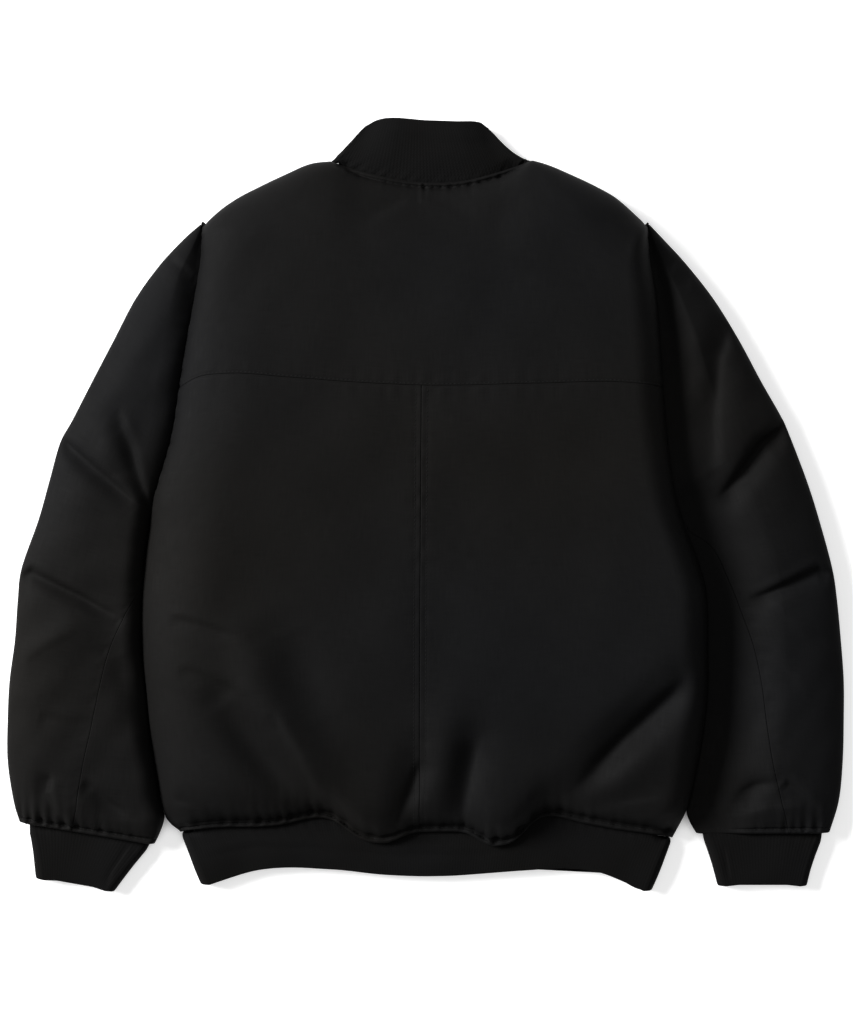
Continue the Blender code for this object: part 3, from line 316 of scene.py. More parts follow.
# Smaller creases, each a narrow trough with a soft lip: height, half width, the lip's height
# (positive on the left of the line's way) and the line
Crease = namedtuple("Crease", "height width lip line")
BODY_CREASES = [
    Crease(-2.2, 5, 0.5, [(-262, -116), (-235, -122), (-210, -130), (-188, -136)]),
    Crease(-1.8, 6, 0.4, [(-252, -168), (-228, -176), (-200, -188), (-178, -202)]),
    Crease(-2.6, 6, 0.9, [(-158, -214), (-140, -250), (-119, -286), (-104, -312)]),
    Crease(-3.4, 6, 0.9, [(78, -312), (62, -326), (46, -338)]),
    Crease(-3.8, 8, -0.8, [(-2, -262), (-14, -290), (-30, -315), (-42, -335)]),
    Crease(-3.2, 8, 0.8, [(52, -240), (46, -275), (40, -305), (36, -332)]),
    Crease(-4.4, 8, -1.2, [(268, -180), (226, -220), (190, -254), (148, -298)]),
    Crease(-2.4, 6, 0.5, [(214, -336), (243, -324), (268, -318)]),
    Crease(-2.4, 6, -0.5, [(-262, -302), (-225, -311), (-196, -331)]),
    Crease(-2.2, 7, -0.5, [(150, -314), (178, -306), (206, -300), (244, -297)]),
    Crease(-1.6, 4, 0.4, [(-8, 330), (-7, 308)]),
    Crease(-1.2, 7, 0.3, [(-12, 322), (-36, 306), (-62, 292)]),
    Crease(-1.0, 7, -0.3, [(4, 320), (26, 306), (50, 296)]),
]
LEFT_SLEEVE_CREASES = [
    Crease(-4.6, 6, 1.2, [(-385, 77), (-356, 50), (-337, 34), (-315, 15), (-296, -4)]),
    Crease(-4.6, 5, 1.2, [(-428, -77), (-407, -69), (-385, -81), (-356, -95), (-334, -108), (-308, -120)]),
    Crease(-3.0, 5, 0.8, [(-318, 96), (-303, 60), (-294, 24), (-281, -16)]),
    Crease(-1.2, 7, 0.2, [(-398, -218), (-370, -224), (-340, -227)]),
    Crease(-3.6, 6, 0.8, [(-388, -278), (-392, -298), (-385, -314), (-376, -330)]),
    Crease(-2.6, 6, 0.7, [(-352, -286), (-328, -307), (-298, -327)]),
    Crease(-1.2, 8, 0.3, [(-412, -166), (-385, -148), (-352, -132)]),
    Crease(-1.6, 4, 0.3, [(-266, 256), (-253, 247), (-240, 237)]),
]
RIGHT_SLEEVE_CREASES = [
    Crease(-7.0, 8, -1.4, [(382, 88), (349, 63), (329, 34), (299, -4)]),
    Crease(-5.6, 5, -1.2, [(426, -74), (406, -67), (380, -80), (356, -91), (328, -103)]),
    Crease(-3.0, 9, 0.5, [(318, 190), (303, 150), (298, 90), (298, 22)]),
    Crease(-1.6, 7, 0.4, [(276, 246), (266, 222)]),
    Crease(-0.9, 8, 0.2, [(350, -98), (372, -122), (396, -148)]),
    Crease(-0.9, 8, 0.2, [(352, -150), (372, -174), (392, -204)]),
    Crease(-3.0, 6, 0.6, [(314, -322), (327, -300), (341, -291), (370, -285)]),
    Crease(-2.6, 6, 0.6, [(372, -286), (390, -301), (410, -318)]),
    Crease(-2.4, 6, -0.5, [(330, -314), (355, -307), (392, -308)]),
    Crease(-1.6, 4, 0.3, [(266, 259), (249, 239)]),
]
FRONT_CREASES = [
    Crease(2.6, 9, 0, [(-210, -90), (-150, -180), (-70, -240)]),
    Crease(2.2, 8, 0, [(-60, 180), (-130, 60), (-190, -10)]),
    Crease(2.6, 9, 0, [(215, -110), (160, -190), (60, -262)]),
    Crease(2.0, 8, 0, [(70, 170), (120, 80), (196, 10)]),
    Crease(1.8, 7, 0, [(-120, -290), (-60, -250)]),
    Crease(1.8, 7, 0, [(130, -300), (90, -240)]),
]
RIB_CREASES = {
    "hem_rib": [Crease(-1.0, 2.6, 0.5, [(-231, -364), (-207, -360), (-177, -354), (-148, -354), (-78, -357),
                                        (-38, -362), (34, -362), (64, -360), (90, -353)])],
    "collar_rib": [Crease(-0.8, 5, 0.4, [(-40, 384), (20, 376), (70, 374)])],
    "cuff_left": [Crease(-0.8, 2.4, 0.2, [(-306, -352), (-327, -383), (-331, -398)])],
    "cuff_right": [Crease(-0.8, 2.4, 0.2, [(311, -360), (314, -374), (316, -390)])],
}

# Where each sleeve's and the body's edges are, by the sign of X on that side
SIDES = {-1: (LEFT_SLEEVE, LEFT_TIP, LEFT_HEM), 1: (RIGHT_SLEEVE, RIGHT_TIP, RIGHT_HEM)}

# Finishes
CLOTH_WARM, CLOTH_COOL = (0.0058, 0.0054, 0.0049, 1), (0.0050, 0.0051, 0.0055, 1)
CLOTH_ROUGH, CLOTH_SPECULAR = 0.66, 0.035
KNIT_WARM, KNIT_COOL = (0.0039, 0.0037, 0.0035, 1), (0.0036, 0.0036, 0.0038, 1)
THREAD_DARK, THREAD_LIGHT = (0.003, 0.003, 0.003, 1), (0.008, 0.008, 0.008, 1)
SLUB_FINE, SLUB_LONG = 1800, 45
HERRINGBONE, HERRINGBONE_STRIPES = 250, 900
PLASTIC = dict(grey=0.01, roughness=0.4, metallic=0.0, scratch=900.0)
ENAMEL = dict(grey=0.03, roughness=0.35, metallic=0.6, scratch=700.0)
WORN = 1.6

# Floor and light: each light's name, size in metres, watts and place
# The floor's glow is painted light: the floor emits light though it is no lamp. GLOW_REACH, GLOW_FROM and
# GLOW_FULL set the ambient-occlusion mask that takes the glow away near the jacket, which paints shade there.
FLOOR_HALF, FLOOR_WHITE, FLOOR_PAINTED_GLOW, FLOOR_DROP = 4.0, 0.8, 0.55, 0.0002
GLOW_REACH, GLOW_FROM, GLOW_FULL = 0.06, 0.12, 0.55
LIGHTS = [
    ("key", 2.3, 715.0, (-4.75, 1.8, 3.1)),
    ("top", 2.6, 19.0, (0.2, 0.4, 3.6)),
]
WORLD_LIGHT = 0.25

# Camera: straight above, as far as its lens needs for the photograph's scale
PHOTO_MM = 1.04
LENS, SENSOR = 100.0, 36.0
CAMERA_X, CAMERA_Y = 0.00156, -0.0078
CAMERA_HEIGHT = LENS / SENSOR * 1024 * PHOTO_MM / METRE + 0.012


# Curves

def spline(rows, at):
    """Reads a smooth curve through the rows of a table at whole or fractional row numbers."""
    rows = np.asarray(rows, float)
    at = np.clip(np.asarray(at, float), 0, len(rows) - 1)
    first = np.minimum(at.astype(int), len(rows) - 2)
    t = at - first
    if rows.ndim > 1:
        t = t[..., None]
    ends = np.concatenate([[2 * rows[0] - rows[1]], rows, [2 * rows[-1] - rows[-2]]])
    a, b, c, d = (ends[first + k] for k in range(4))
    return b + 0.5 * t * (c - a + t * (2 * a - 5 * b + 4 * c - d + t * (3 * (b - c) + d - a)))


def line_at(points, x):
    """Height y of a smooth line through points of rising x."""
    xs, ys = np.array(points, float).T
    slopes = np.gradient(ys, xs)
    x = np.clip(x, xs[0], xs[-1])
    i = np.clip(np.searchsorted(xs, x) - 1, 0, len(xs) - 2)
    span = xs[i + 1] - xs[i]
    t = (x - xs[i]) / span
    rise = ys[i + 1] - ys[i]
    return (ys[i] + t * span * slopes[i]
            + t * t * (3 * rise - span * (2 * slopes[i] + slopes[i + 1]))
            + t ** 3 * (span * (slopes[i] + slopes[i + 1]) - 2 * rise))


def smoothstep(t):
    """Rises from 0 at t = 0 to 1 at t = 1, level at both ends."""
    t = np.clip(t, 0, 1)
    return t * t * (3 - 2 * t)


def rolled(distance, radius):
    """Rises from 0 at a fold to 1 a radius away, as steep at the fold as a quarter circle."""
    t = np.clip(distance / radius, 0, 1)
    return np.sqrt(1 - (1 - t) ** 2)


def nearest_on_line(x, y, line):
    """Distance to a line of points, share along it, and +1 or -1 for the side: + is left of its way."""
    best = np.full(np.shape(x), np.inf)
    share, side = np.zeros(np.shape(x)), np.ones(np.shape(x))
    count = len(line) - 1
    for i, ((ax, ay), (bx, by)) in enumerate(zip(line, line[1:])):
        dx, dy = bx - ax, by - ay
        t = np.clip(((x - ax) * dx + (y - ay) * dy) / (dx * dx + dy * dy), 0, 1)
        d = np.hypot(x - ax - t * dx, y - ay - t * dy)
        nearer = d < best
        share = np.where(nearer, (i + t) / count, share)
        side = np.where(nearer, np.sign(dx * (y - ay) - dy * (x - ax)), side)
        best = np.where(nearer, d, best)
    return best, share, side


def fold_heights(x, y, folds):
    """The sum of the folds' heights, each fading towards its ends."""
    total = np.zeros(np.shape(x))
    for fold in folds:
        away, share, _ = nearest_on_line(x, y, fold.line)
        fade = np.sin(np.pi * np.clip(share, FOLD_TIP, 1 - FOLD_TIP)) ** FOLD_FADE
        fade = FOLD_END + (1 - FOLD_END) * fade
        total += fold.height * fade * np.exp(-(away / fold.width) ** 2)
    return total


def crease_heights(x, y, creases):
    """Sharper creases: each is a narrow trough with a soft lip on one side of its line."""
    total = np.zeros(np.shape(x))
    for crease in creases:
        away, share, side = nearest_on_line(x, y, crease.line)
        fade = np.clip(share / CREASE_START, 0, 1) ** START_POWER
        fade = fade * np.clip((1 - share) / CREASE_END, 0, 1) ** END_POWER
        under_lip = side == np.sign(crease.lip)
        half = crease.width * np.where(under_lip, STEEP, GENTLE)
        trough = crease.height * np.exp(-(away / half) ** 2)
        lip = abs(crease.lip) * np.exp(-((away - LIP_AT * crease.width) / crease.width) ** 2) * under_lip
        total += fade * (trough + lip)
    return total


def waves(x, y, seed, length, height, count=14):
    """Slight unevenness of cloth: a fixed sum of waves of mixed directions and lengths."""
    draw = np.random.default_rng(seed)
    total = np.zeros(np.shape(x))
    for _ in range(count):
        angle, phase = draw.uniform(0, 2 * math.pi, 2)
        wave = length * draw.uniform(0.6, 1.8)
        total += np.sin((x * math.cos(angle) + y * math.sin(angle)) * 2 * math.pi / wave + phase)
    return height * total / math.sqrt(count / 2)


def puckers(along, away, seam):
    """Small gathers beside a seam: ripples along it that fade with the distance from it."""
    pitch, reach, height, seed = PUCKERS[seam]
    phases = np.random.default_rng(seed).uniform(0, 2 * math.pi, 4)
    warp = along + 0.35 * pitch * np.sin(along / (2.3 * pitch) + phases[0])
    ripple = np.sin(2 * math.pi * warp / pitch + phases[1])
    ripple += 0.6 * np.sin(2 * math.pi * warp / (1.63 * pitch) + phases[2])
    strength = 0.65 + 0.35 * np.sin(along / (3.1 * pitch) + phases[3])
    held = smoothstep(away / TOPSTITCH) * np.exp(-np.maximum(away - TOPSTITCH, 0) / reach)
    return height * strength * (ripple - 0.5) * held / 1.3


def welt(along, away):
    """The turned edge between a seam and its topstitching, raised between the stitches."""
    beads = 1 + WELT_BEADS * np.sin(2 * math.pi * along / WELT_PITCH + 2 * np.sin(along / WELT_WANDER))
    return WELT * beads * np.sin(np.pi * np.clip(away / TOPSTITCH, 0, 1))


def lines(first, last, spacing, unit_mm, close_first=True, close_last=True, also=()):
    """Grid lines from first to last, spacing apart, closer together at the ends that ask for it."""
    ends = [first, *sorted(also), last]
    found = []
    for i, (a, b) in enumerate(zip(ends, ends[1:])):
        steps = np.array(EDGE_STEPS) / unit_mm
        low = a + steps if (i > 0 or close_first) else np.array([])
        high = b - steps if (i < len(ends) - 2 or close_last) else np.array([])
        low, high = low[low < (a + b) / 2], high[high > (a + b) / 2]
        start = low[-1] if len(low) else a
        stop = high.min() if len(high) else b
        count = max(1, round((stop - start) * unit_mm / spacing))
        found += [[a], low, np.linspace(start, stop, count + 1)[1:-1], high]
    return np.unique(np.round(np.concatenate([*found, [last]]), 7))


# Grids and walls

def unit(vectors):
    """The vectors, each scaled to length 1."""
    return vectors / np.maximum(np.linalg.norm(vectors, axis=-1, keepdims=True), 1e-9)


def grid_normals(grid, ring=False):
    """Unit normals of a grid of points. A ring's last column is next to its first."""
    if ring:
        grid = np.concatenate([grid[:, -1:], grid, grid[:, :1]], axis=1)
    normals = np.cross(np.gradient(grid, axis=1), np.gradient(grid, axis=0))
    if ring:
        normals = normals[:, 1:-1]
    return unit(normals)


def facing(normals, place, sign):
    """The normals, turned about if at the place they point down while sign is up, or up while it is down."""
    return normals * (sign * np.sign(normals[place + (2,)].mean()))


def edge_normals(points, outward):
    """Level unit vectors square to an edge, on the side that outward points to."""
    along = np.gradient(points, axis=0)
    level = np.stack([along[:, 1], -along[:, 0], np.zeros(len(along))], axis=1)
    sign = np.sign((level * np.asarray(outward, float)).sum(axis=1))
    return unit(level * sign[:, None])


def blended(first, second, share):
    """Unit vectors that turn from the first to the second as share goes from 0 to 1."""
    return unit(first * (1 - share[..., None]) + second * share[..., None])


def lengths(grid, axis):
    """How far each point of a grid is along its row or column from its start."""
    step = np.linalg.norm(np.diff(grid, axis=axis), axis=2)
    first = np.zeros_like(np.take(step, [0], axis=axis))
    return np.concatenate([first, np.cumsum(step, axis=axis)], axis=axis)


def edge_distances(grid, ring=False):
    """Distance of each point from the four borders: first row, last row, first column, last column."""
    down, across = lengths(grid, 0), lengths(grid, 1)
    far = np.full(grid.shape[:2], FAR)
    sides = (far, far) if ring else (across, across[:, -1:] - across)
    return down, down[-1:] - down, *sides


def rounding(grid, ring=False, tight=()):
    """How far each side of a wall is drawn in, so that its edges are round. Tight ones are seams."""
    drawn = np.zeros(grid.shape[:2])
    for border, distance in zip(BORDERS, edge_distances(grid, ring)):
        reach, share = (TIGHT_REACH, TIGHT_SHARE) if border in tight else (ROUND_REACH, ROUND_SHARE)
        t = np.clip(distance / reach, 0, 1)
        drawn = np.maximum(drawn, (1 - np.sqrt(1 - (1 - t) ** 2)) * share / 2)
    return drawn


def pulled_in(grid, first_row=0.0, last_row=0.0, first_column=0.0, last_column=0.0):
    """The grid with its borders moved inwards by these distances, to part it from its neighbours."""
    grid = grid.copy()
    for edge, amount in ((0, first_row), (-1, last_row)):
        inner = 1 if edge == 0 else -2
        grid[edge] += amount * unit(grid[inner] - grid[edge])
    for edge, amount in ((0, first_column), (-1, last_column)):
        inner = 1 if edge == 0 else -2
        grid[:, edge] += amount * unit(grid[:, inner] - grid[:, edge])
    return grid


def add_object(mesh, material):
    """Links a mesh to the scene as an object of the same name."""
    mesh.materials.append(material)
    piece = bpy.data.objects.new(mesh.name, mesh)
    bpy.context.scene.collection.objects.link(piece)
    return piece


def add_mesh(name, points, faces, material, corner_uv=None):
    """Makes an object of a closed mesh given in millimetres, facing out."""
    points = np.asarray(points, float) / METRE
    faces = np.asarray(faces)
    volume = 0.0
    for i in range(1, faces.shape[1] - 1):
        a, b, c = points[faces[:, 0]], points[faces[:, i]], points[faces[:, i + 1]]
        volume += (a * np.cross(b, c)).sum()
    if volume < 0:
        faces = faces[:, ::-1]
        corner_uv = None if corner_uv is None else corner_uv[:, ::-1]
    mesh = bpy.data.meshes.new(name)
    mesh.from_pydata(points.tolist(), [], faces.tolist())
    if corner_uv is not None:
        layer = mesh.uv_layers.new(name="cloth")
        layer.data.foreach_set("uv", (corner_uv / METRE).astype(np.float32).ravel())
    mesh.shade_smooth()
    return add_object(mesh, material)


def corners(grid):
    """The four corners of every face of a grid of values, in order round the face."""
    return np.stack([grid[:-1, :-1], grid[:-1, 1:], grid[1:, 1:], grid[1:, :-1]], axis=2)


def wall(name, outer, normals, thickness, material, relief=None, ring=False, tight=()):
    """A closed wall: the grid moved out by its relief, and a plain inside a thickness below it."""
    rows, columns = outer.shape[:2]
    drawn = rounding(outer, ring, tight) * thickness
    raised = -drawn if relief is None else relief - drawn
    top = outer + normals * raised[..., None]
    bottom = outer - normals * (thickness - drawn)[..., None]
    points = np.concatenate([top.reshape(-1, 3), bottom.reshape(-1, 3)])
    index = np.arange(rows * columns).reshape(rows, columns)
    around = outer
    if ring:
        index = np.concatenate([index, index[:, :1]], axis=1)
        around = np.concatenate([outer, outer[:, :1]], axis=1)
    middle_row, middle_column = around[rows // 2:rows // 2 + 1], around[:, columns // 4:columns // 4 + 1]
    uv = np.stack(np.broadcast_arrays(lengths(middle_row, 1), lengths(middle_column, 0)), axis=-1)
    faces = corners(index).reshape(-1, 4)
    face_uv = corners(uv).reshape(-1, 4, 2)
    inside = rows * columns
    all_faces = [faces, faces[:, ::-1] + inside]
    all_uv = [face_uv, face_uv[:, ::-1]]
    rims = [(index[0], uv[0], -1), (index[-1], uv[-1], 1)]
    if not ring:
        rims += [(index[:, 0], uv[:, 0], 1), (index[:, -1], uv[:, -1], -1)]
    for line, line_uv, order in rims:
        rim = np.stack([line[:-1], line[1:], line[1:] + inside, line[:-1] + inside], axis=1)
        rim_uv = np.stack([line_uv[:-1], line_uv[1:], line_uv[1:], line_uv[:-1]], axis=1)
        all_faces.append(rim[:, ::order])
        all_uv.append(rim_uv[:, ::order])
    return add_mesh(name, points, np.concatenate(all_faces), material, np.concatenate(all_uv))


def beside(grid, border, distance):
    """The line of points that runs along a border of a grid at a distance from it."""
    turned = {"first_row": grid, "last_row": grid[::-1],
              "first_column": grid.swapaxes(0, 1), "last_column": grid[:, ::-1].swapaxes(0, 1)}[border]
    away = lengths(turned, 0)
    found = []
    for column in range(turned.shape[1]):
        found.append([np.interp(distance, away[:, column], turned[:, column, k]) for k in range(3)])
    return np.array(found)


STRIP_ROW = LAST_ROW - STRIP / SLEEVE_ROW_MM
SLEEVE_TOP_LINES = lines(0, 1, SLEEVE_SPACING, SLEEVE_TOP_MM)
SLEEVE_FLAT_LINES = lines(0, 1, FLAT_SPACING, SLEEVE_FLAT_MM, close_first=False)
UNDER_FLAT_LINES = lines(0, 1, FLAT_SPACING, UNDER_FLAT_MM, close_last=False)
UNDER_TOP_LINES = lines(0, 1, SLEEVE_SPACING, UNDER_TOP_MM, close_first=False)


# Body

def body_edge(sections, tip, hem, at):
    """Side edge of the body: the shoulder tip, the sleeve's inner points, then the hem corner."""
    points = [tip] + [(row.in_x, row.in_y) for row in sections[:LAST_EDGE_ROW + 1]] + [hem]
    heights = [FOLD_HEIGHT] + [row.edge for row in sections[:LAST_EDGE_ROW + 1]] + [FOLD_HEIGHT]
    edge = spline(np.column_stack([points, heights]), at + 1)
    edge[..., 2] = np.maximum(edge[..., 2], FOLD_HEIGHT)
    return edge


def top_line(x):
    """Shoulder and neck line of the back."""
    y = line_at(NECK_SEAM, x)
    y = np.where(x < NECK_SEAM[0][0], line_at(LEFT_SHOULDER, x), y)
    return np.where(x > NECK_SEAM[-1][0], line_at(RIGHT_SHOULDER, x), y)


def inside_neck(x):
    """How far x is inside the neck's two ends."""
    return np.minimum(x - NECK_SEAM[0][0], NECK_SEAM[-1][0] - x)


def top_heights(x):
    """Height of the back's upper edge: low at the shoulder folds, higher along the neck seam."""
    return FOLD_HEIGHT + (NECK_HEIGHT - FOLD_HEIGHT) * smoothstep(inside_neck(x) / NECK_FADE)


def body_height(x, y, left, right, top_y):
    """Height of the padded back over the surface, before its hem turns under."""
    falls = smoothstep((CROWN_FALLS_FROM - y) / CROWN_FALLS_OVER)
    crown = BODY_CROWN + (LOWER_CROWN - BODY_CROWN) * falls
    from_left, from_right = x - left[:, None, 0], right[:, None, 0] - x
    on_neck = smoothstep(inside_neck(x) / (2 * NECK_FADE) + 0.5)
    top_roll = SHOULDER_ROLL + (NECK_ROLL - SHOULDER_ROLL) * on_neck
    reach = np.clip(SMOOTHING * (top_y - y), 0, MOST_SMOOTHING)
    smooth_top = sum(top_line(x + k * reach) for k in SMOOTHING_TAPS) / len(SMOOTHING_TAPS)
    at_neck = smoothstep(inside_neck(x) / (STRIP_FADE * NECK_FADE))
    from_top = np.maximum(smooth_top - y - NECK_STRIP * at_neck, 0)
    from_top = np.hypot(from_top, NECK_FILLET * at_neck) - NECK_FILLET * at_neck
    drops = [
        (crown - left[:, None, 2]) * (1 - rolled(from_left, SIDE_ROLLS[-1])),
        (crown - right[:, None, 2]) * (1 - rolled(from_right, SIDE_ROLLS[1])),
        (crown - top_heights(x)) * (1 - rolled(SHOULDER_SLOPE * from_top, top_roll)),
    ]
    drop = sum(abs(d) ** CORNER_POWER for d in drops) ** (1 / CORNER_POWER)
    inside = smoothstep(np.minimum(from_left, from_right) / EDGE_FADE)
    inside = inside * smoothstep((top_y - y) / EDGE_FADE)
    creases = fold_heights(x, y, BODY_FOLDS) + crease_heights(x, y, BODY_CREASES)
    return crown - drop + inside * (creases + waves(x, y, *BODY_WAVES))


def hanging(x):
    """How far the hem's seam hangs over the rib."""
    return sum(o.reach * np.exp(-abs((x - o.x) / o.half) ** OVERHANG_POWER) for o in OVERHANGS)


def rounded_off(down):
    """How far cloth has fallen from its crown, at share down of its way to a strip along a seam."""
    whole = 1 - math.sqrt(1 - STEEPEST ** HEM_ROUNDING)
    return (1 - np.sqrt(1 - (STEEPEST * down) ** HEM_ROUNDING)) / whole


def turned_under(grid, hem_y):
    """Rounds the lowest rows down to a strip along the hem seam, which hangs over the rib in places."""
    x, y, z = grid[:, :, 0], grid[:, :, 1].copy(), grid[:, :, 2]
    from_side = np.minimum(x - x[:, :1], x[:, -1:] - x)
    side = smoothstep(from_side / HEM_SIDE_FADE)
    down = np.clip(1 - (y - hem_y - STRIP) / HEM_ROLL, 0, 1)
    hangs = hanging(x) * side
    lip = HEM_LIP_SIDE + (HEM_LIP - HEM_LIP_SIDE) * smoothstep(from_side / LIP_SPREAD)
    lip = lip + LIP_RISE * smoothstep(hangs / FULL_HANG)
    grid[:, :, 2] = z - (z - lip) * rounded_off(down)
    bulge = LEAST_OVERHANG * side * np.sin(np.pi * down ** OVERHANG_LOW)
    grid[:, :, 1] = y - hangs * smoothstep(down * HANG_SPEED) - bulge


def neck_shares(shares, knee):
    """Shares of the top row, stretched so that one of the solid's columns falls on the neck's end."""
    t = np.arange(CAD_HALF_COLUMNS + 1) / CAD_HALF_COLUMNS
    cad = 0.4 * t + 0.6 * (1 - np.cos(t * math.pi / 2))
    nearest = cad[np.argmin(abs(cad - knee))]
    return np.interp(shares, [0, nearest, 1], [0, knee, 1])


def back_grid(rows, half):
    """Grid of the whole back, with the centre seam in the middle column."""
    left, right = (body_edge(*SIDES[sign], rows) for sign in (-1, 1))
    even = np.concatenate([half, 2 - half[-2::-1]])
    left_knee = (NECK_SEAM[0][0] - LEFT_TIP[0]) / -LEFT_TIP[0]
    right_knee = (RIGHT_TIP[0] - NECK_SEAM[-1][0]) / RIGHT_TIP[0]
    top = np.concatenate([neck_shares(half, left_knee), 2 - neck_shares(half, right_knee)[-2::-1]])
    yoke = np.flatnonzero(rows == YOKE_ROW)[0]
    down = np.clip((left[0, 1] - left[:, 1]) / (left[0, 1] - left[yoke, 1]), 0, 1)[:, None]
    share = top + (even - top) * down
    centre = np.interp((left[:, 1] + right[:, 1]) / 2, *np.array(CENTRE_SEAM).T)[:, None]
    x = np.where(share <= 1, left[:, :1] + (centre - left[:, :1]) * share,
                 centre + (right[:, :1] - centre) * (share - 1))
    guides = [top_line(x), line_at(YOKE_SEAM, x), line_at(HEM_SEAM, x)]
    y = np.zeros_like(x)
    for first, last, upper, lower in ((0, yoke, 0, 1), (yoke, len(rows) - 1, 1, 2)):
        part = slice(first, last + 1)
        ends = [(edge[part, 1] - edge[first, 1]) / (edge[last, 1] - edge[first, 1]) for edge in (left, right)]
        down = ends[0][:, None] + (ends[1] - ends[0])[:, None] * even / 2
        y[part] = guides[upper][part] * (1 - down) + guides[lower][part] * down
    grid = np.stack([x, y, body_height(x, y, left, right, guides[0])], axis=2)
    turned_under(grid, guides[2])
    grid[0, :, 2] = top_heights(x[0])
    grid[:, 0], grid[:, -1] = left, right
    return grid, yoke


def curled(distance, height, radius):
    """Height of cloth that lies flat and curls up to an edge like a quarter ellipse."""
    return height * (1 - rolled(distance, radius))


def front_edge(sign):
    """X of a front's edge along the zip."""
    return CENTRE_FRONT_X + sign * ZIP_OPENING


def neck_end(sign):
    """Where the neck seam meets the shoulder on this side."""
    return NECK_SEAM[0 if sign < 0 else -1]


def front_top(x, sign):
    """Upper edge of a front: the shoulder, then a neckline that is a quarter ellipse."""
    neck, centre = neck_end(sign), front_edge(sign)
    shoulder = line_at(LEFT_SHOULDER if sign < 0 else RIGHT_SHOULDER, x)
    share = np.clip((x - centre) / (neck[0] - centre), 0, 1)
    neckline = neck[1] - FRONT_NECK_DROP * np.sqrt(np.clip(1 - share ** 2, 0, 1))
    return np.where(sign * x > abs(neck[0]), shoulder, neckline)


def front_hem(x, sign):
    """Lower edge of a front, straight from the side seam to the zip."""
    corner, centre = SIDES[sign][2], front_edge(sign)
    share = np.clip((x - corner[0]) / (centre - corner[0]), 0, 1)
    return corner[1] + (FRONT_HEM_Y - corner[1]) * share


def armhole_closed(rows):
    """0 along the armhole, where body and sleeve are one, to 1 below it, where each has its own fold."""
    return smoothstep((rows - ARMHOLE_CLOSES) / (UNDERARM_ROW - ARMHOLE_CLOSES))


def front_grid(rows, edge, sign):
    """Grid of a front: it rests on the surface and curls up to the back at side and shoulder."""
    centre, neck = front_edge(sign), neck_end(sign)
    shoulder = LEFT_SHOULDER if sign < 0 else RIGHT_SHOULDER
    neckline = 1 - np.sin(np.linspace(math.pi / 2, 0, FRONT_NECK_COLUMNS + 1))
    curl_steps = lines(0, FOLD_CURL, FRONT_CURL_SPACING, 1, close_last=False)
    grid = []
    for r, point in enumerate(edge):
        reach = abs(point[0] - centre)
        at_neck = (abs(point[0]) - abs(neck[0])) / reach
        curl = curl_steps / reach
        flat = np.linspace(curl[-1], at_neck, FRONT_FLAT_COLUMNS + 1)[1:-1]
        shares = np.concatenate([curl, flat, at_neck + (1 - at_neck) * neckline])
        x = point[0] + (centre - point[0]) * shares
        down = (point[1] - edge[0, 1]) / (edge[-1, 1] - edge[0, 1])
        y = front_top(x, sign) * (1 - down) + front_hem(x, sign) * down
        side = curled(shares * reach, FOLD_HEIGHT * armhole_closed(rows[r]), FOLD_CURL)
        beside_neck = sign * x < abs(neck[0]) - 0.01
        from_shoulder = np.where(beside_neck, np.hypot(x - neck[0], y - neck[1]),
                                 SHOULDER_SLOPE * (line_at(shoulder, x) - y))
        z = np.maximum(side, curled(from_shoulder, FOLD_HEIGHT, FOLD_CURL))
        inside = smoothstep(shares * reach / FRONT_SIDE_FADE)
        inside = inside * smoothstep((1 - shares) * reach / FRONT_ZIP_FADE)
        lifted = np.maximum(crease_heights(x, y, FRONT_CREASES), 0) * inside
        grid.append(np.stack([x, y, np.minimum(z, FOLD_HEIGHT - SEAM_GAP) + lifted], axis=1))
    return np.array(grid)


def back_relief(grid, yoke, middle, open_arm):
    """How far sewing raises and dips the back's surface: grooves, welts and gathers beside each seam."""
    x, y = grid[:, :, 0], grid[:, :, 1]
    up, down_to_hem = lengths(grid[:yoke + 1], 0), lengths(grid[yoke:], 0)
    from_top = np.concatenate([up, up[-1:] + down_to_hem[1:]])
    from_yoke = np.concatenate([up[-1:] - up, down_to_hem[1:]])
    from_hem = np.concatenate([np.full(up.shape, FAR), (down_to_hem[-1:] - down_to_hem)[1:]])
    across = lengths(grid, 1)
    from_centre = abs(across - across[:, middle:middle + 1])
    from_side = np.minimum(across, across[:, -1:] - across)
    below_yoke = (np.arange(len(grid)) >= yoke)[:, None]
    neck_only = smoothstep(inside_neck(x) / NECK_SEWING_FADE)
    relief = -stitched(from_top - TOPSTITCH) * neck_only
    relief -= YOKE_DIP * stitched(from_yoke - YOKE_TOPSTITCH)
    relief -= CENTRE_DIP * stitched(from_centre - CENTRE_TOPSTITCH) * below_yoke
    relief -= stitched(from_hem - TOPSTITCH)
    relief -= ARMHOLE_DIP * stitched(from_side - TOPSTITCH) * open_arm
    relief += (puckers(x, from_top, "neck") + welt(x, from_top)) * neck_only
    relief += puckers(x, from_yoke, "yoke")
    relief += puckers(y, from_centre, "centre") * below_yoke
    relief += puckers(x, from_hem, "hem") + welt(x, from_hem)
    relief += (puckers(y, from_side, "armhole") + ARMHOLE_WELT * welt(y, from_side)) * open_arm
    relief *= smoothstep(np.minimum(from_side, from_top) / BORDER_FADE) * smoothstep(from_hem / BORDER_FADE)
    return relief


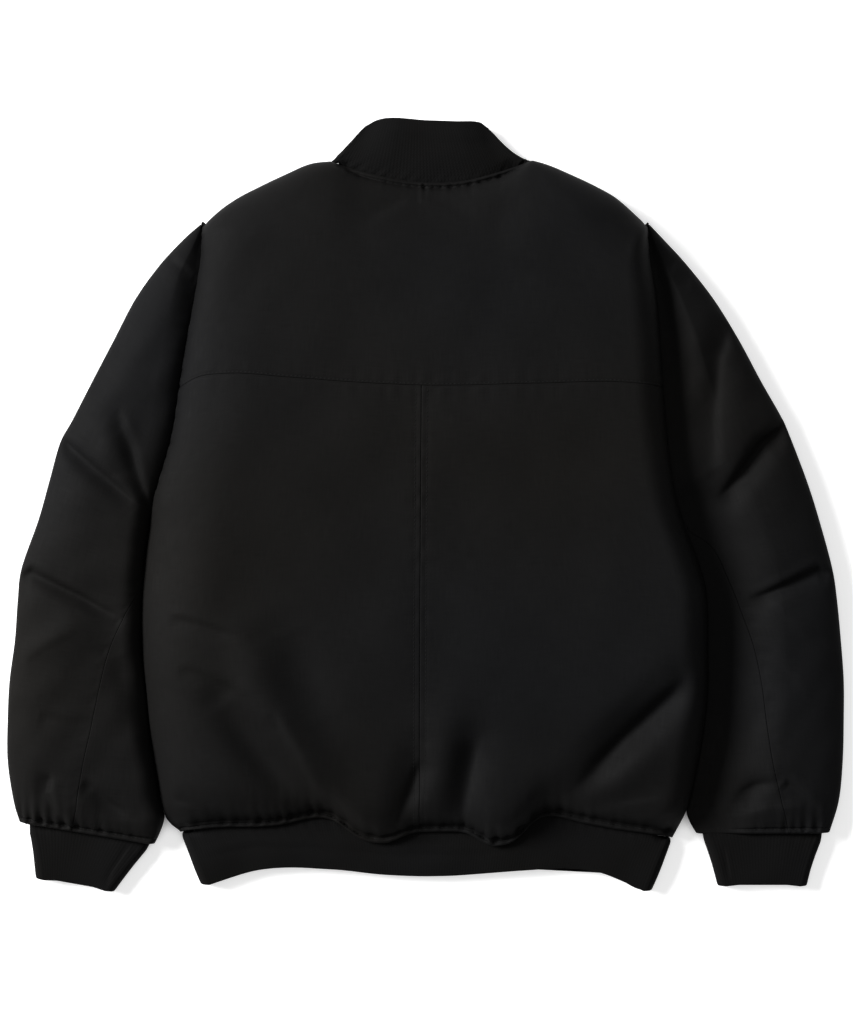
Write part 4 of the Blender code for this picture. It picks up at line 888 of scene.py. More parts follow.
def make_back(cloth):
    """The yoke and the two lower halves, cut from one grid, and that grid's rows."""
    last_lines = [LAST_ROW - HEM_ROLL_ROWS, LAST_ROW - STRIP / BODY_ROW_MM]
    rows = np.concatenate([
        lines(-1, YOKE_ROW, BODY_SPACING, YOKE_ROW_MM)[:-1],
        lines(YOKE_ROW, LAST_ROW, BODY_SPACING, BODY_ROW_MM, also=last_lines),
    ])
    half = lines(0, 1, BODY_SPACING, BODY_HALF_MM)
    grid, yoke = back_grid(rows, half)
    normals = facing(grid_normals(grid), (Ellipsis,), 1)
    folded = armhole_closed(rows)
    for column, sign in ((0, -1), (-1, 1)):
        level = edge_normals(grid[:, column], (sign, 0, 0))
        normals[:, column] = blended(normals[:, column], level, folded)
    on_neck = smoothstep(inside_neck(grid[0, :, 0]) / NECK_BLEND)
    normals[0] = blended(edge_normals(grid[0], (0, 1, 0)), normals[0], on_neck)

    middle, gap = len(half) - 1, SEAM_GAP / 2
    relief = back_relief(grid, yoke, middle, (1 - folded)[:, None])
    above, left, right = np.s_[:yoke + 1], np.s_[yoke:, :middle + 1], np.s_[yoke:, middle:]
    cuts = {"back_yoke": (above, {"last_row": gap}),
            "back_left": (left, {"first_row": gap, "last_column": gap}),
            "back_right": (right, {"first_row": gap, "first_column": gap})}
    shown, surfaces = {}, {}
    for name, (part, sewn) in cuts.items():
        points = pulled_in(grid[part], **sewn)
        shown[name] = wall(f"{name}_cloth", points, normals[part], PADDED, cloth, relief[part], tight=sewn)
        surfaces[name] = points + normals[part] * relief[part][..., None]
    return shown, surfaces, rows


def make_fronts(cloth):
    """The two hidden fronts, which lie on the surface."""
    shown, surfaces = {}, {}
    rows = lines(-1, LAST_ROW, FRONT_SPACING, SLEEVE_ROW_MM, also=[LAST_ROW - 1])
    for name, sign in (("front_left", -1), ("front_right", 1)):
        front = front_grid(rows, body_edge(*SIDES[sign], rows), sign)
        down = facing(grid_normals(front), (Ellipsis,), -1)
        level = edge_normals(front[:, 0], (sign, 0, 0))
        down[:, 0] = blended(down[:, 0], level, armhole_closed(rows))
        on_neck = smoothstep((abs(neck_end(sign)[0]) - sign * front[0, :, 0]) / NECK_BLEND)
        down[0] = blended(edge_normals(front[0], (0, 1, 0)), down[0], on_neck)
        shown[name] = wall(f"{name}_cloth", front, down, PADDED, cloth)
        surfaces[name] = front
    return shown, surfaces


def stitched(distance):
    """Depth of the groove that a row of stitches pulls into the cloth."""
    return STITCH_DIP * np.exp(-(distance / STITCH_DIP_HALF) ** 2)


# Sleeves

def risen(distance, radius, s, sign):
    """How a sleeve rises from its inner edge: round on the left, a shallow valley on the right."""
    if sign > 0:
        return smoothstep(distance / radius) ** VALLEY_POWER
    at_tip = 1 - smoothstep(s / TIP_ROWS)
    return rolled(distance, radius) * (1 - at_tip) + smoothstep(distance / radius) * at_tip


def sleeve_ring(row, s, sign, lift, close, end):
    """One section of a sleeve as points (r, z): r runs from the outer fold to the inner edge.

    It starts at the back seam on top, goes out over the outer fold and back along the surface
    to the front seam, then round the inner fold and up to the back seam again.
    """
    width = math.hypot(row.in_x - row.out_x, row.in_y - row.out_y)
    curl = min(SLEEVE_CURL, MOST_CURL * width)
    inner_curl = curl * close
    outer_roll = min(SLEEVE_ROLL, MOST_OUTER_ROLL * width)
    inner_roll = min(ARMHOLE_ROLLS[sign] * (1 - close) + INNER_ROLLS[sign] * close, MOST_INNER_ROLL * width)
    row = row._replace(crown=row.crown - CROWN_CUTS[sign] * smoothstep(s / STEP_ROWS))
    step = ARMHOLE_STEPS[sign] * smoothstep(s / STEP_ROWS)
    edge = (row.edge - step) * (1 - close) + SLEEVE_FOLD * close
    under_seam = width - max(width * row.seam, LEAST_UNDER)
    closed = close == 1
    seam = under_seam if closed else width
    front_seam = width - inner_curl - (width - 2 * curl) * FRONT_SEAM_SHARE * end

    def top(r):
        outer_drop = (row.crown - SLEEVE_FOLD) * (1 - rolled(r, outer_roll))
        inner_drop = (row.crown - edge) * (1 - risen(width - r, inner_roll, s, sign))
        drop = outer_drop ** CORNER_POWER + inner_drop ** CORNER_POWER
        return row.crown - drop ** (1 / CORNER_POWER)

    r_top = seam * (1 - SLEEVE_TOP_LINES) ** EDGE_CROWDING
    turn = np.linspace(0, 1, SLEEVE_FOLD_STEPS + 1)[1:] * math.pi / 2
    fold = np.column_stack([curl * (1 - np.cos(turn)), lift + (SLEEVE_FOLD - lift) * (1 - np.sin(turn))])
    flat = curl + (front_seam - curl) * SLEEVE_FLAT_LINES[1:]
    outer = np.concatenate([np.column_stack([r_top, top(r_top)]), fold,
                            np.column_stack([flat, np.full(len(flat), lift)])])
    bottom = front_seam + (width - inner_curl - front_seam) * UNDER_FLAT_LINES
    high = SLEEVE_FOLD * close
    turn = np.linspace(math.pi / 2, 0, UNDER_FOLD_STEPS + 1)[1:]
    fold = np.column_stack([width - inner_curl * (1 - np.cos(turn)), high * (1 - np.sin(turn))])
    back = width + (under_seam - width) * UNDER_TOP_LINES[1:]
    under = np.concatenate([np.column_stack([bottom, np.full(len(bottom), lift)]), fold,
                            np.column_stack([back, top(back) if closed else np.full(len(back), high)])])
    return outer, under


def inner_edge(sign, s):
    """Where a sleeve's inner edge lies: along the body's side, then on to the cuff seam."""
    x, y, _ = body_edge(*SIDES[sign], min(s, LAST_EDGE_ROW))
    past = max(0.0, s - LAST_EDGE_ROW)
    last = SIDES[sign][0][-1]
    return x + (last.in_x - x) * past ** CUFF_INSET_POWER, y + (last.in_y - y) * past


def sleeve_grids(rows, folds, creases, sign):
    """The grids of the top sleeve, which wraps round the outer fold, and of the under sleeve."""
    table = np.array(SIDES[sign][0], float)
    outers, unders = [], []
    for s in rows:
        row = Section(*spline(table, s))
        close = float(armhole_closed(s))
        lift = TIP_LIFT * max(0.0, 1 - s / TIP_LIFT_ROWS)
        end = float(smoothstep((s - UNDER_SLEEVE_ROW + FRONT_SEAM_LEAD) / FRONT_SEAM_ROWS))
        in_x, in_y = inner_edge(sign, s)
        row = row._replace(in_x=in_x + sign * SEAM_GAP, in_y=in_y, seam=max(row.seam, 0))
        across = unit(np.array([row.in_x - row.out_x, row.in_y - row.out_y]))
        for ring, rings in zip(sleeve_ring(row, s, sign, lift, close, end), (outers, unders)):
            x = row.out_x + ring[:, 0] * across[0]
            y = row.out_y + ring[:, 0] * across[1]
            rings.append(np.stack([x, y, ring[:, 1]], axis=1))
    outer, under = np.array(outers), np.array(unders)
    for grid in (outer, under):
        x, y, z = (grid[:, :, k] for k in range(3))
        top = smoothstep((z - SLEEVE_FOLDS_FROM) / (SLEEVE_FOLDS_FULL - SLEEVE_FOLDS_FROM))
        heights = fold_heights(x, y, folds) + crease_heights(x, y, creases)
        grid[:, :, 2] += top * (heights + waves(x, y, *SLEEVE_WAVES))
        end = np.clip((rows - CUFF_DROP_ROW) / (STRIP_ROW - CUFF_DROP_ROW), 0, 1)[:, None]
        grid[:, :, 2] = np.where(z > CUFF_LIP, z - (z - CUFF_LIP) * rounded_off(end), z)
    return outer, under


def make_sleeve(side, sign, folds, creases, cloth):
    """A sleeve's two pieces, sewn together at the back seam on top and, lower down, at the front seam."""
    rows = lines(0, LAST_ROW, SLEEVE_SPACING, SLEEVE_ROW_MM,
                 also=[UNDER_SLEEVE_ROW, UNDERARM_ROW, CUFF_DROP_ROW, STRIP_ROW])
    outer, under = sleeve_grids(rows, folds, creases, sign)
    start, joined = np.searchsorted(rows, [UNDER_SLEEVE_ROW, UNDERARM_ROW])
    under = under[start:]
    on_top = (slice(None), 1)
    outer_normals = facing(grid_normals(outer), on_top, 1)
    under_normals = facing(grid_normals(under), on_top, -1)
    shared = unit(outer_normals[start:, -1] + under_normals[:, 0])
    outer_normals[start:, -1], under_normals[:, 0] = shared, shared
    shared = unit(outer_normals[joined:, 0] + under_normals[joined - start:, -1])
    outer_normals[joined:, 0], under_normals[joined - start:, -1] = shared, shared
    shown, surfaces = {}, {}
    for name, grid, normals in (("outer", outer, outer_normals), ("under", under, under_normals)):
        x, y, z = (grid[:, :, k] for k in range(3))
        _, to_cuff, from_seam, _ = edge_distances(grid)
        relief = -stitched(to_cuff - TOPSTITCH)
        relief += (puckers(x, to_cuff, "cuff") + welt(x, to_cuff)) * smoothstep(to_cuff / BORDER_FADE)
        if name == "outer":
            relief += puckers(y, from_seam, "sleeve")
        relief *= smoothstep((z - SLEEVE_FOLDS_FROM) / SLEEVE_TOP_FADE)
        parted = pulled_in(grid, first_column=SEAM_GAP / 2, last_column=SEAM_GAP / 2)
        key = f"sleeve_{side}_{name}"
        shown[key] = wall(f"{key}_cloth", parted, normals, PADDED, cloth, relief, tight=BORDERS[2:])
        surfaces[key] = parted + normals * relief[..., None]
    return shown, surfaces


# Rib bands

def turn_angles():
    """Angles of a band's side fold, from the surface up, without its two ends."""
    return np.linspace(-math.pi / 2, math.pi / 2, BAND_TURN)[1:-1]


def band_path(back, front_left, front_right, droop=0.0):
    """Joins the stretches of a band into one line from the centre front round the back."""
    turns = []
    for sign, (x, y, top) in ((-1, back[0]), (1, back[-1])):
        radius = top / 2
        turns.append(np.array([(x + sign * radius * math.cos(a), y - droop * radius * math.cos(a),
                                radius + radius * math.sin(a)) for a in turn_angles()]))
    return np.concatenate([front_left[::-1], turns[0], back, turns[1][::-1], front_right])


def hem_rib_grid():
    """The hem band's rows from its seam to its free edge, each from zip to zip round the back."""
    across = np.linspace(0, 1, 4 * HEM_WALES + 1)
    rows = []
    for v in lines(0, 1, RIB_SPACING, RIB_DEPTH):
        duck = max(0.0, 1 - v / DUCK_ENDS)
        inset = HEM_SIDE_IN + HEM_TAPER * v
        left, right = LEFT_HEM[0] + inset, RIGHT_HEM[0] - inset
        top = HEM_TOP + BAND_SWELL * math.sin(math.pi * v) - BAND_FALL * v
        radius = top / 2
        x = left + radius + (right - left - 2 * radius) * across
        seam_x = LEFT_HEM[0] + HEM_SIDE_IN + (RIGHT_HEM[0] - LEFT_HEM[0] - 2 * HEM_SIDE_IN) * across
        edge_x = HEM_EDGE_LINE[0][0] + (HEM_EDGE_LINE[-1][0] - HEM_EDGE_LINE[0][0]) * across
        y = line_at(HEM_SEAM, seam_x) * (1 - v) + line_at(HEM_EDGE_LINE, edge_x) * v
        inside = smoothstep(np.minimum(across, 1 - across) / SIDE_SHARE)
        low = DUCK_DOWN * duck ** 2 * (1 - inside)
        back = np.stack([x, y + DUCK_UP * duck * inside - SEAM_GAP * (1 - v), top - low], axis=1)
        fronts = []
        for sign, start in ((-1, back[0]), (1, back[-1])):
            fx = start[0] + (front_edge(sign) - start[0]) * np.linspace(0, 1, 2 * HEM_WALES - 3)
            lower = front_hem(fx, sign) - HEM_DEPTH
            fy = (front_hem(fx, sign) - SEAM_GAP) * (1 - v) + lower * v
            fy = fy + (start[1] - fy[0]) * (1 - smoothstep(abs(fx - start[0]) / HEM_SIDE_FADE)) * v
            fronts.append(np.stack([fx, fy, np.zeros(len(fx))], axis=1))
        rows.append(band_path(back, *fronts))
    return np.array(rows)


def collar_rib_grid():
    """The collar band's rows from its seam to its free edge, each from zip to zip round the back."""
    across = np.linspace(0, 1, 4 * COLLAR_WALES + 1)
    from_side = np.minimum(across, 1 - across)
    rows = []
    seam_left, seam_right = NECK_SEAM[0], NECK_SEAM[-1]
    edge_left, edge_right = COLLAR_EDGE_LINE[0], COLLAR_EDGE_LINE[-1]
    for v in lines(0, 1, RIB_SPACING, COLLAR_DEPTH):
        seam_x = seam_left[0] + (seam_right[0] - seam_left[0]) * across
        edge_x = edge_left[0] + (edge_right[0] - edge_left[0]) * across
        low = COLLAR_SIDE_SEAM + (COLLAR_SIDE - COLLAR_SIDE_SEAM) * v
        swell = math.sin(math.pi * (COLLAR_MARGIN + (1 - 2 * COLLAR_MARGIN) * v)) ** COLLAR_SWELL_POWER
        high = COLLAR_EDGE + (COLLAR_TOP - COLLAR_EDGE) * swell
        duck = max(0.0, 1 - v / COLLAR_DUCK_ENDS)
        on_top = smoothstep(from_side / COLLAR_RISE)
        inside = smoothstep(from_side / SIDE_SHARE)
        top = low + (high - low) * on_top - DUCK_DOWN * duck * (1 - on_top) * inside
        inset = np.where(across < 0.5, 1, -1) * low / 2 * (1 - smoothstep(from_side / COLLAR_INSET))
        waist = COLLAR_WAIST * math.sin(math.pi * v ** COLLAR_WAIST_LOW)
        waist = waist * (1 - smoothstep((1 - across) / COLLAR_WAIST_SIDE))
        x = seam_x * (1 - v) + edge_x * v + inset - waist
        y = (line_at(NECK_SEAM, seam_x) + SEAM_GAP) * (1 - v) + line_at(COLLAR_EDGE_LINE, edge_x) * v
        y = y - COLLAR_DUCK * duck * inside
        back = np.stack([x, y, top], axis=1)
        fronts = []
        for sign, start in ((-1, back[0]), (1, back[-1])):
            centre = front_edge(sign)
            angle = np.linspace(math.pi / 2, 0, 2 * COLLAR_WALES + 1)
            fx = centre + (start[0] - centre) * np.sin(angle)
            drop = (FRONT_NECK_DROP - COLLAR_FRONT_GAP) * (1 - v) + FRONT_COLLAR_DROP * v
            fronts.append(np.stack([fx, start[1] - drop * np.cos(angle), np.zeros(len(fx))], axis=1))
        rows.append(band_path(back, *fronts, v))
    return np.array(rows)


def cuff_grid(cuff):
    """A cuff's rings from its seam to its free edge, each round a flattened tube with folds at its sides."""
    across = np.linspace(0, 1, 4 * CUFF_WALES + 1)
    rows = []
    for v in lines(0, 1, RIB_SPACING, RIB_DEPTH):
        out = np.array(cuff.top_out) * (1 - v) + np.array(cuff.end_out) * v
        inn = np.array(cuff.top_in) * (1 - v) + np.array(cuff.end_in) * v
        along = inn - out
        width = np.linalg.norm(along)
        along /= width
        up = np.array([-along[1], along[0]])
        up *= np.sign(up[1])
        top = CUFF_TOP - BAND_FALL * v
        hollow = CUFF_HOLLOW * math.sin(math.pi * v)
        out, inn, width = out + hollow * along, inn - hollow * along, width - 2 * hollow
        duck = max(0.0, 1 - v / DUCK_ENDS)
        out, inn = out + up * DUCK_UP * duck, inn + up * DUCK_UP * duck
        top -= DUCK_DOWN * duck
        radius = top / 2
        ring = []
        for t in across:
            rise = (cuff.bow * (1 - v) ** 2 + CUFF_END_BOW * v ** 3) * math.sin(math.pi * t)
            ring.append([*(out + along * (radius + (width - 2 * radius) * t) + up * rise), top])
        for a in turn_angles()[::-1]:
            ring.append([*(inn - along * radius * (1 - math.cos(a))), radius + radius * math.sin(a)])
        for t in across[::-1]:
            ring.append([*(out + along * (radius + (width - 2 * radius) * t)), 0])
        for a in turn_angles():
            ring.append([*(out + along * radius * (1 - math.cos(a))), radius + radius * math.sin(a)])
        rows.append(ring)
    return np.array(rows)


def make_ribs(knit):
    """The four knit bands, with their wales raised where they show and flat underneath."""
    shown, surfaces = {}, {}
    bands = {"hem_rib": (hem_rib_grid(), False), "collar_rib": (collar_rib_grid(), False),
             "cuff_left": (cuff_grid(LEFT_CUFF), True), "cuff_right": (cuff_grid(RIGHT_CUFF), True)}
    for name, (grid, ring) in bands.items():
        x, y, z = (grid[:, :, k] for k in range(3))
        on_top = (slice(None), 2 * CUFF_WALES if ring else grid.shape[1] // 2)
        normals = facing(grid_normals(grid, ring), on_top, 1)
        from_seam, from_edge, _, _ = edge_distances(grid, ring)
        wale = np.array(WALE_PROFILE)[np.arange(grid.shape[1]) % len(WALE_PROFILE)] * WALE_HEIGHT
        raised, off_seam = smoothstep(z / RIB_TOP_FADE), smoothstep(from_seam / WALE_SEAM_FADE)
        relief = wale * (WALE_UNDERNEATH + (1 - WALE_UNDERNEATH) * raised)
        relief = relief * off_seam * smoothstep(from_edge / WALE_EDGE_FADE)
        relief += puckers(lengths(grid, 1), from_seam, "rib") * raised * off_seam
        relief += (waves(x, y, *RIB_WAVES) + crease_heights(x, y, RIB_CREASES[name])) * raised
        relief = np.where(z < 1, np.minimum(relief, 0), relief)
        shown[name] = wall(f"{name}_knit", grid, normals, RIB, knit, relief, ring)
        surfaces[name] = grid + normals * relief[..., None]
    return shown, surfaces


# Sewing

def stitch_row(line):
    """Stitches along a line of points: the middle of each and its direction."""
    steps = np.linalg.norm(np.diff(line, axis=0), axis=1)
    far = np.concatenate([[0], np.cumsum(steps)])
    at = np.arange(STITCH_PITCH, far[-1] - STITCH_PITCH, STITCH_PITCH)
    ends = [np.stack([np.interp(at + side * STITCH_LENGTH / 2, far, line[:, k]) for k in range(3)], axis=1)
            for side in (-1, 1)]
    return (ends[0] + ends[1]) / 2, unit(ends[1] - ends[0])


def make_stitches(name, rows, material, up):
    """One mesh of many short rounded threads, each made of sections of THREAD_POINTS points."""
    angles = np.arange(THREAD_POINTS) * 2 * math.pi / THREAD_POINTS
    last = THREAD_POINTS * (len(THREAD_SECTIONS) - 1)
    points, faces = [], []
    for line in rows:
        middles, ways = stitch_row(line)
        sides = unit(np.cross(ways, np.broadcast_to(np.array(up, float), ways.shape)))
        normals = np.cross(sides, ways)
        for middle, way, side, normal in zip(middles, ways, sides, normals):
            start = len(points)
            for along, size in THREAD_SECTIONS:
                centre = middle + way * along * STITCH_LENGTH / 2
                for a in angles:
                    points.append(centre + side * math.cos(a) * STITCH_HALF * size
                                  + normal * math.sin(a) * STITCH_HIGH * size)
            for ring in range(start, start + last, THREAD_POINTS):
                for i in range(THREAD_POINTS):
                    a, b = ring + i, ring + (i + 1) % THREAD_POINTS
                    faces.append([a, b, b + THREAD_POINTS, a + THREAD_POINTS])
            for first, order in ((start, -1), (start + last, 1)):
                faces.append([first, first + 1, first + 2, first + 3][::order])
                faces.append([first, first + 3, first + 4, first + 5][::order])
    return add_mesh(name, points, faces, material)


def sewing_lines(surfaces, body_rows):
    """Every row of topstitching, as lines of points on the cloth."""
    yoke, left, right = (surfaces[n] for n in ("back_yoke", "back_left", "back_right"))
    neck = beside(yoke, "first_row", TOPSTITCH)
    neck = neck[inside_neck(neck[:, 0]) > NECK_STITCH_END]
    armhole = body_rows[body_rows >= YOKE_ROW] < ARMHOLE_CLOSES
    body = [
        neck, beside(yoke, "last_row", YOKE_TOPSTITCH)[4:-4],
        beside(left, "last_column", CENTRE_TOPSTITCH)[3:-3],
        beside(right, "first_column", CENTRE_TOPSTITCH)[3:-3],
        beside(left, "last_row", TOPSTITCH)[4:-2], beside(right, "last_row", TOPSTITCH)[2:-4],
        beside(yoke, "first_column", TOPSTITCH)[6:], beside(yoke, "last_column", TOPSTITCH)[6:],
        beside(left, "first_column", TOPSTITCH)[armhole], beside(right, "last_column", TOPSTITCH)[armhole],
    ]
    sleeves, fronts = [], []
    for side in ("left", "right"):
        for part in ("outer", "under"):
            line = beside(surfaces[f"sleeve_{side}_{part}"], "last_row", TOPSTITCH)
            sleeves.append(line[line[:, 2] > SLEEVE_FOLD])
        front = surfaces[f"front_{side}"]
        fronts += [beside(front, "last_column", TOPSTITCH)[2:-2], beside(front, "last_row", TOPSTITCH)[4:-2]]
    return {"back_topstitching": body, "sleeve_topstitching": sleeves, "front_topstitching": fronts}


# Zip

def make_teeth(low, bottom, top, plastic):
    """Moulded teeth that mesh from both sides, each its outline at three heights, smaller at its crown."""
    points, faces = [], []
    count = 2 * len(TOOTH)
    for k, tooth_y in enumerate(np.arange(bottom + TOOTH_PITCH, top - TOOTH_PITCH, TOOTH_PITCH / 2)):
        sign = 1 if k % 2 else -1
        start = len(points)
        for z, size in ((low - TOOTH_FOOT, 1), (CHAIN_LOW + TOOTH_BEVEL, 1), (CHAIN_LOW, TOOTH_CROWN)):
            for side, outline in ((-1, TOOTH), (1, TOOTH[::-1])):
                for way, half in outline:
                    x = CENTRE_FRONT_X + sign * (1 - way) * CHAIN_HALF * TOOTH_REACH
                    points.append((x, tooth_y + side * half * size * TOOTH_HALF, z))
        for level in (start, start + count):
            for i in range(count):
                a, b = level + i, level + (i + 1) % count
                faces.append([a, b, b + count, a + count][::sign])
        for first, order in ((start, -sign), (start + 2 * count, sign)):
            for i in range(len(TOOTH) - 1):
                face = [first + i, first + i + 1, first + count - 2 - i, first + count - 1 - i]
                faces.append(face[::order])
    return add_mesh("zip_teeth", points, faces, plastic)


def make_zip(tape_cloth, plastic, metal):
    """Two tapes with moulded teeth between them, and the slider at the closed end."""
    low = PADDED + SEAM_GAP
    top = (NECK_SEAM[0][1] + NECK_SEAM[-1][1]) / 2 - FRONT_NECK_DROP + ZIP_ABOVE_NECK
    bottom = HEM_EDGE_LINE[4][1] + ZIP_ABOVE_EDGE
    columns, rows = np.meshgrid(lines(-TAPE_HALF, TAPE_HALF, TAPE_SPACING, 1, also=[0]),
                                lines(bottom, top, TAPE_ROW_SPACING, 1))
    bead = BEAD_HIGH * np.exp(-((abs(columns) - CHAIN_HALF - BEAD_OUT) / BEAD_HALF) ** 2)
    slit = BEAD_HIGH * np.exp(-(columns / SLIT_HALF) ** 2)
    tape = np.stack([CENTRE_FRONT_X + columns, rows, np.full(columns.shape, low)], axis=2)
    down = np.broadcast_to([0.0, 0.0, -1.0], tape.shape)
    return {
        "zip_tape": wall("zip_tape", tape, down, TAPE_THICK, tape_cloth, bead - slit),
        "zip_teeth": make_teeth(low, bottom, top, plastic),
        "zip_slider_body": make_slider(top + SEAM_GAP, metal),
    }


def make_slider(y0, metal):
    """A slider whose body narrows towards the chain, with a bridge and a flat pull that lies on the chain."""
    built = bmesh.new()
    for block in SLIDER_BLOCKS:
        made = bmesh.ops.create_cube(built, size=1)["verts"]
        for vert in made:
            half = block.half * (block.taper if vert.co.y > 0 else 1)
            vert.co.x = CENTRE_FRONT_X + block.x + 2 * vert.co.x * half
            vert.co.y = y0 + (block.y_to if vert.co.y > 0 else block.y_from)
            vert.co.z = block.z_to if vert.co.z > 0 else block.z_from
        edges = list({edge for vert in made for edge in vert.link_edges})
        bmesh.ops.bevel(built, geom=edges, offset=block.bevel, segments=3, affect="EDGES", profile=0.6)
    for vert in built.verts:
        vert.co /= METRE
    bmesh.ops.recalc_face_normals(built, faces=built.faces)
    mesh = bpy.data.meshes.new("zip_slider_body")
    built.to_mesh(mesh)
    built.free()
    mesh.shade_smooth()
    mesh.set_sharp_from_angle(angle=math.radians(35))
    return add_object(mesh, metal)


# Finishes

class Nodes:
    """Short ways to add and join a material's nodes."""

    def __init__(self, name):
        self.material = bpy.data.materials.new(name)
        self.material.use_nodes = True
        self.tree = self.material.node_tree
        self.shader = self.tree.nodes["Principled BSDF"]

    def add(self, kind, values=(), **settings):
        node = self.tree.nodes.new(f"ShaderNode{kind}")
        for key, value in settings.items():
            setattr(node, key, value)
        for socket, value in dict(values).items():
            if isinstance(value, bpy.types.NodeSocket):
                self.tree.links.new(value, node.inputs[socket])
            else:
                node.inputs[socket].default_value = value
        return node

    def math(self, operation, *values):
        return self.add("Math", enumerate(values), operation=operation).outputs[0]

    def scaled(self, source, factors):
        return self.add("VectorMath", {0: source, 1: factors}, operation="MULTIPLY").outputs[0]

    def noise(self, source, scale, detail=3.0, roughness=0.55):
        return self.add("TexNoise", {"Vector": source, "Scale": scale, "Detail": detail,
                                     "Roughness": roughness}).outputs["Fac"]

    def between(self, share, low, high):
        """low where share is 0.3, high where it is 0.7."""
        return self.add("MapRange", {"Value": share, "From Min": 0.3, "From Max": 0.7,
                                     "To Min": low, "To Max": high}).outputs[0]

    def link(self, source, socket):
        self.tree.links.new(source, self.shader.inputs[socket])

    def bump(self, height, strength, distance):
        node = self.add("Bump", {"Height": height, "Strength": strength, "Distance": distance})
        self.link(node.outputs["Normal"], "Normal")

    def colour(self, share, first, second, value=1.0):
        """The base colour: it runs between two colours with a share, then is multiplied by a value."""
        mixed = self.add("Mix", {"Factor": share, "A": first, "B": second}, data_type="RGBA")
        scaled = self.add("VectorMath", {0: mixed.outputs["Result"], "Scale": value}, operation="SCALE")
        self.link(scaled.outputs[0], "Base Color")

    def set(self, **values):
        for name, value in values.items():
            self.shader.inputs[name.replace("_", " ")].default_value = value

    def coordinates(self, kind):
        return self.add("TexCoord").outputs[kind]

    def parts(self, vector):
        return self.add("SeparateXYZ", {0: vector}).outputs

    def wave(self, value):
        """A sine that has one period for each 1 of the value."""
        return self.math("SINE", self.math("MULTIPLY", value, 2 * math.pi))

    def stripes(self, value):
        """0.5 at the edges of each 1 of the value, 0 in its middle."""
        return self.math("ABSOLUTE", self.math("SUBTRACT", self.math("FRACT", value), 0.5))


def cloth_material():
    """Tight plain weave with a soft gloss: fine threads both ways, faint slubs and slow changes of tone."""
    n = Nodes("padded_cloth_weave")
    uv, place = n.coordinates("UV"), n.coordinates("Object")
    warp = n.noise(n.scaled(uv, (SLUB_FINE, SLUB_LONG, 1)), 1.0, 2.0)
    weft = n.noise(n.scaled(uv, (SLUB_LONG, SLUB_FINE, 1)), 1.0, 2.0)
    slubs = n.math("MULTIPLY", n.math("ADD", warp, weft), 0.5)
    threads = n.parts(n.scaled(uv, (1 / THREAD, 1 / THREAD, 1)))
    weave = n.math("MULTIPLY_ADD", n.math("MULTIPLY", n.wave(threads[0]), n.wave(threads[1])), 0.5, 0.5)
    slow, slower = n.noise(place, 7.0, 2.0), n.noise(place, 3.1, 1.0)
    tone = n.math("MULTIPLY", n.between(slubs, 0.72, 1.3), n.between(slow, 0.9, 1.1))
    tone = n.math("MULTIPLY", tone, n.math("MULTIPLY_ADD", weave, 0.25, 0.88))
    n.colour(n.between(slower, 0.0, 1.0), CLOTH_WARM, CLOTH_COOL, tone)
    n.link(n.between(slubs, CLOTH_ROUGH + 0.05, CLOTH_ROUGH - 0.05), "Roughness")
    height = n.math("ADD", n.math("MULTIPLY", weave, 0.6), n.math("MULTIPLY", slubs, 0.8))
    n.bump(height, 0.35, 0.00012)
    n.set(Specular_IOR_Level=CLOTH_SPECULAR)
    return n.material


def knit_material():
    """Rib knit: columns of V stitches on the wales, matt and a little hairy."""
    n = Nodes("rib_knit_wool")
    uv, place = n.parts(n.coordinates("UV")), n.coordinates("Object")
    fold = n.stripes(n.math("MULTIPLY", uv[0], METRE / WALE))
    along = n.math("MULTIPLY", uv[1], METRE / STITCH_ROW)
    chevron = n.wave(n.math("ADD", along, n.math("MULTIPLY", fold, 1.4)))
    fuzz, slow = n.noise(place, 1600.0, 3.0, 0.7), n.noise(place, 9.0, 2.0)
    tone = n.math("MULTIPLY", n.between(fuzz, 0.75, 1.25), n.between(slow, 0.9, 1.1))
    tone = n.math("MULTIPLY", tone, n.math("MULTIPLY_ADD", chevron, 0.14, 1.0))
    n.colour(n.between(slow, 0.0, 1.0), KNIT_WARM, KNIT_COOL, tone)
    n.bump(n.math("ADD", n.math("MULTIPLY", chevron, 0.5), fuzz), 0.5, 0.00025)
    n.set(Roughness=0.92, Specular_IOR_Level=0.06)
    return n.material


def thread_material():
    """Twisted black thread."""
    n = Nodes("black_thread")
    twist = n.noise(n.coordinates("Object"), 2500.0, 2.0)
    n.colour(twist, THREAD_DARK, THREAD_LIGHT)
    n.bump(twist, 0.3, 0.0001)
    n.set(Roughness=0.7, Specular_IOR_Level=0.1)
    return n.material


def tape_material():
    """Herringbone tape."""
    n = Nodes("zip_tape_herringbone")
    uv = n.parts(n.coordinates("UV"))
    across = n.stripes(n.math("MULTIPLY", uv[0], HERRINGBONE))
    stripe = n.wave(n.math("ADD", n.math("MULTIPLY", uv[1], HERRINGBONE_STRIPES), across))
    n.colour(across, KNIT_WARM, KNIT_COOL, n.math("MULTIPLY_ADD", stripe, 0.15, 1.0))
    n.bump(stripe, 0.4, 0.0001)
    n.set(Roughness=0.75, Specular_IOR_Level=0.25)
    return n.material


def hard_material(name, grey, roughness, metallic, scratch):
    """Smooth plastic or enamel with faint wear, which is lighter and rougher in places."""
    n = Nodes(name)
    wear = n.noise(n.coordinates("Object"), scratch, 4.0)
    n.colour(wear, (grey, grey, grey, 1), (WORN * grey, WORN * grey, WORN * grey, 1))
    n.link(n.between(wear, roughness - 0.06, roughness + 0.08), "Roughness")
    n.bump(wear, 0.08, 0.0001)
    n.set(Metallic=metallic)
    return n.material


# Stage

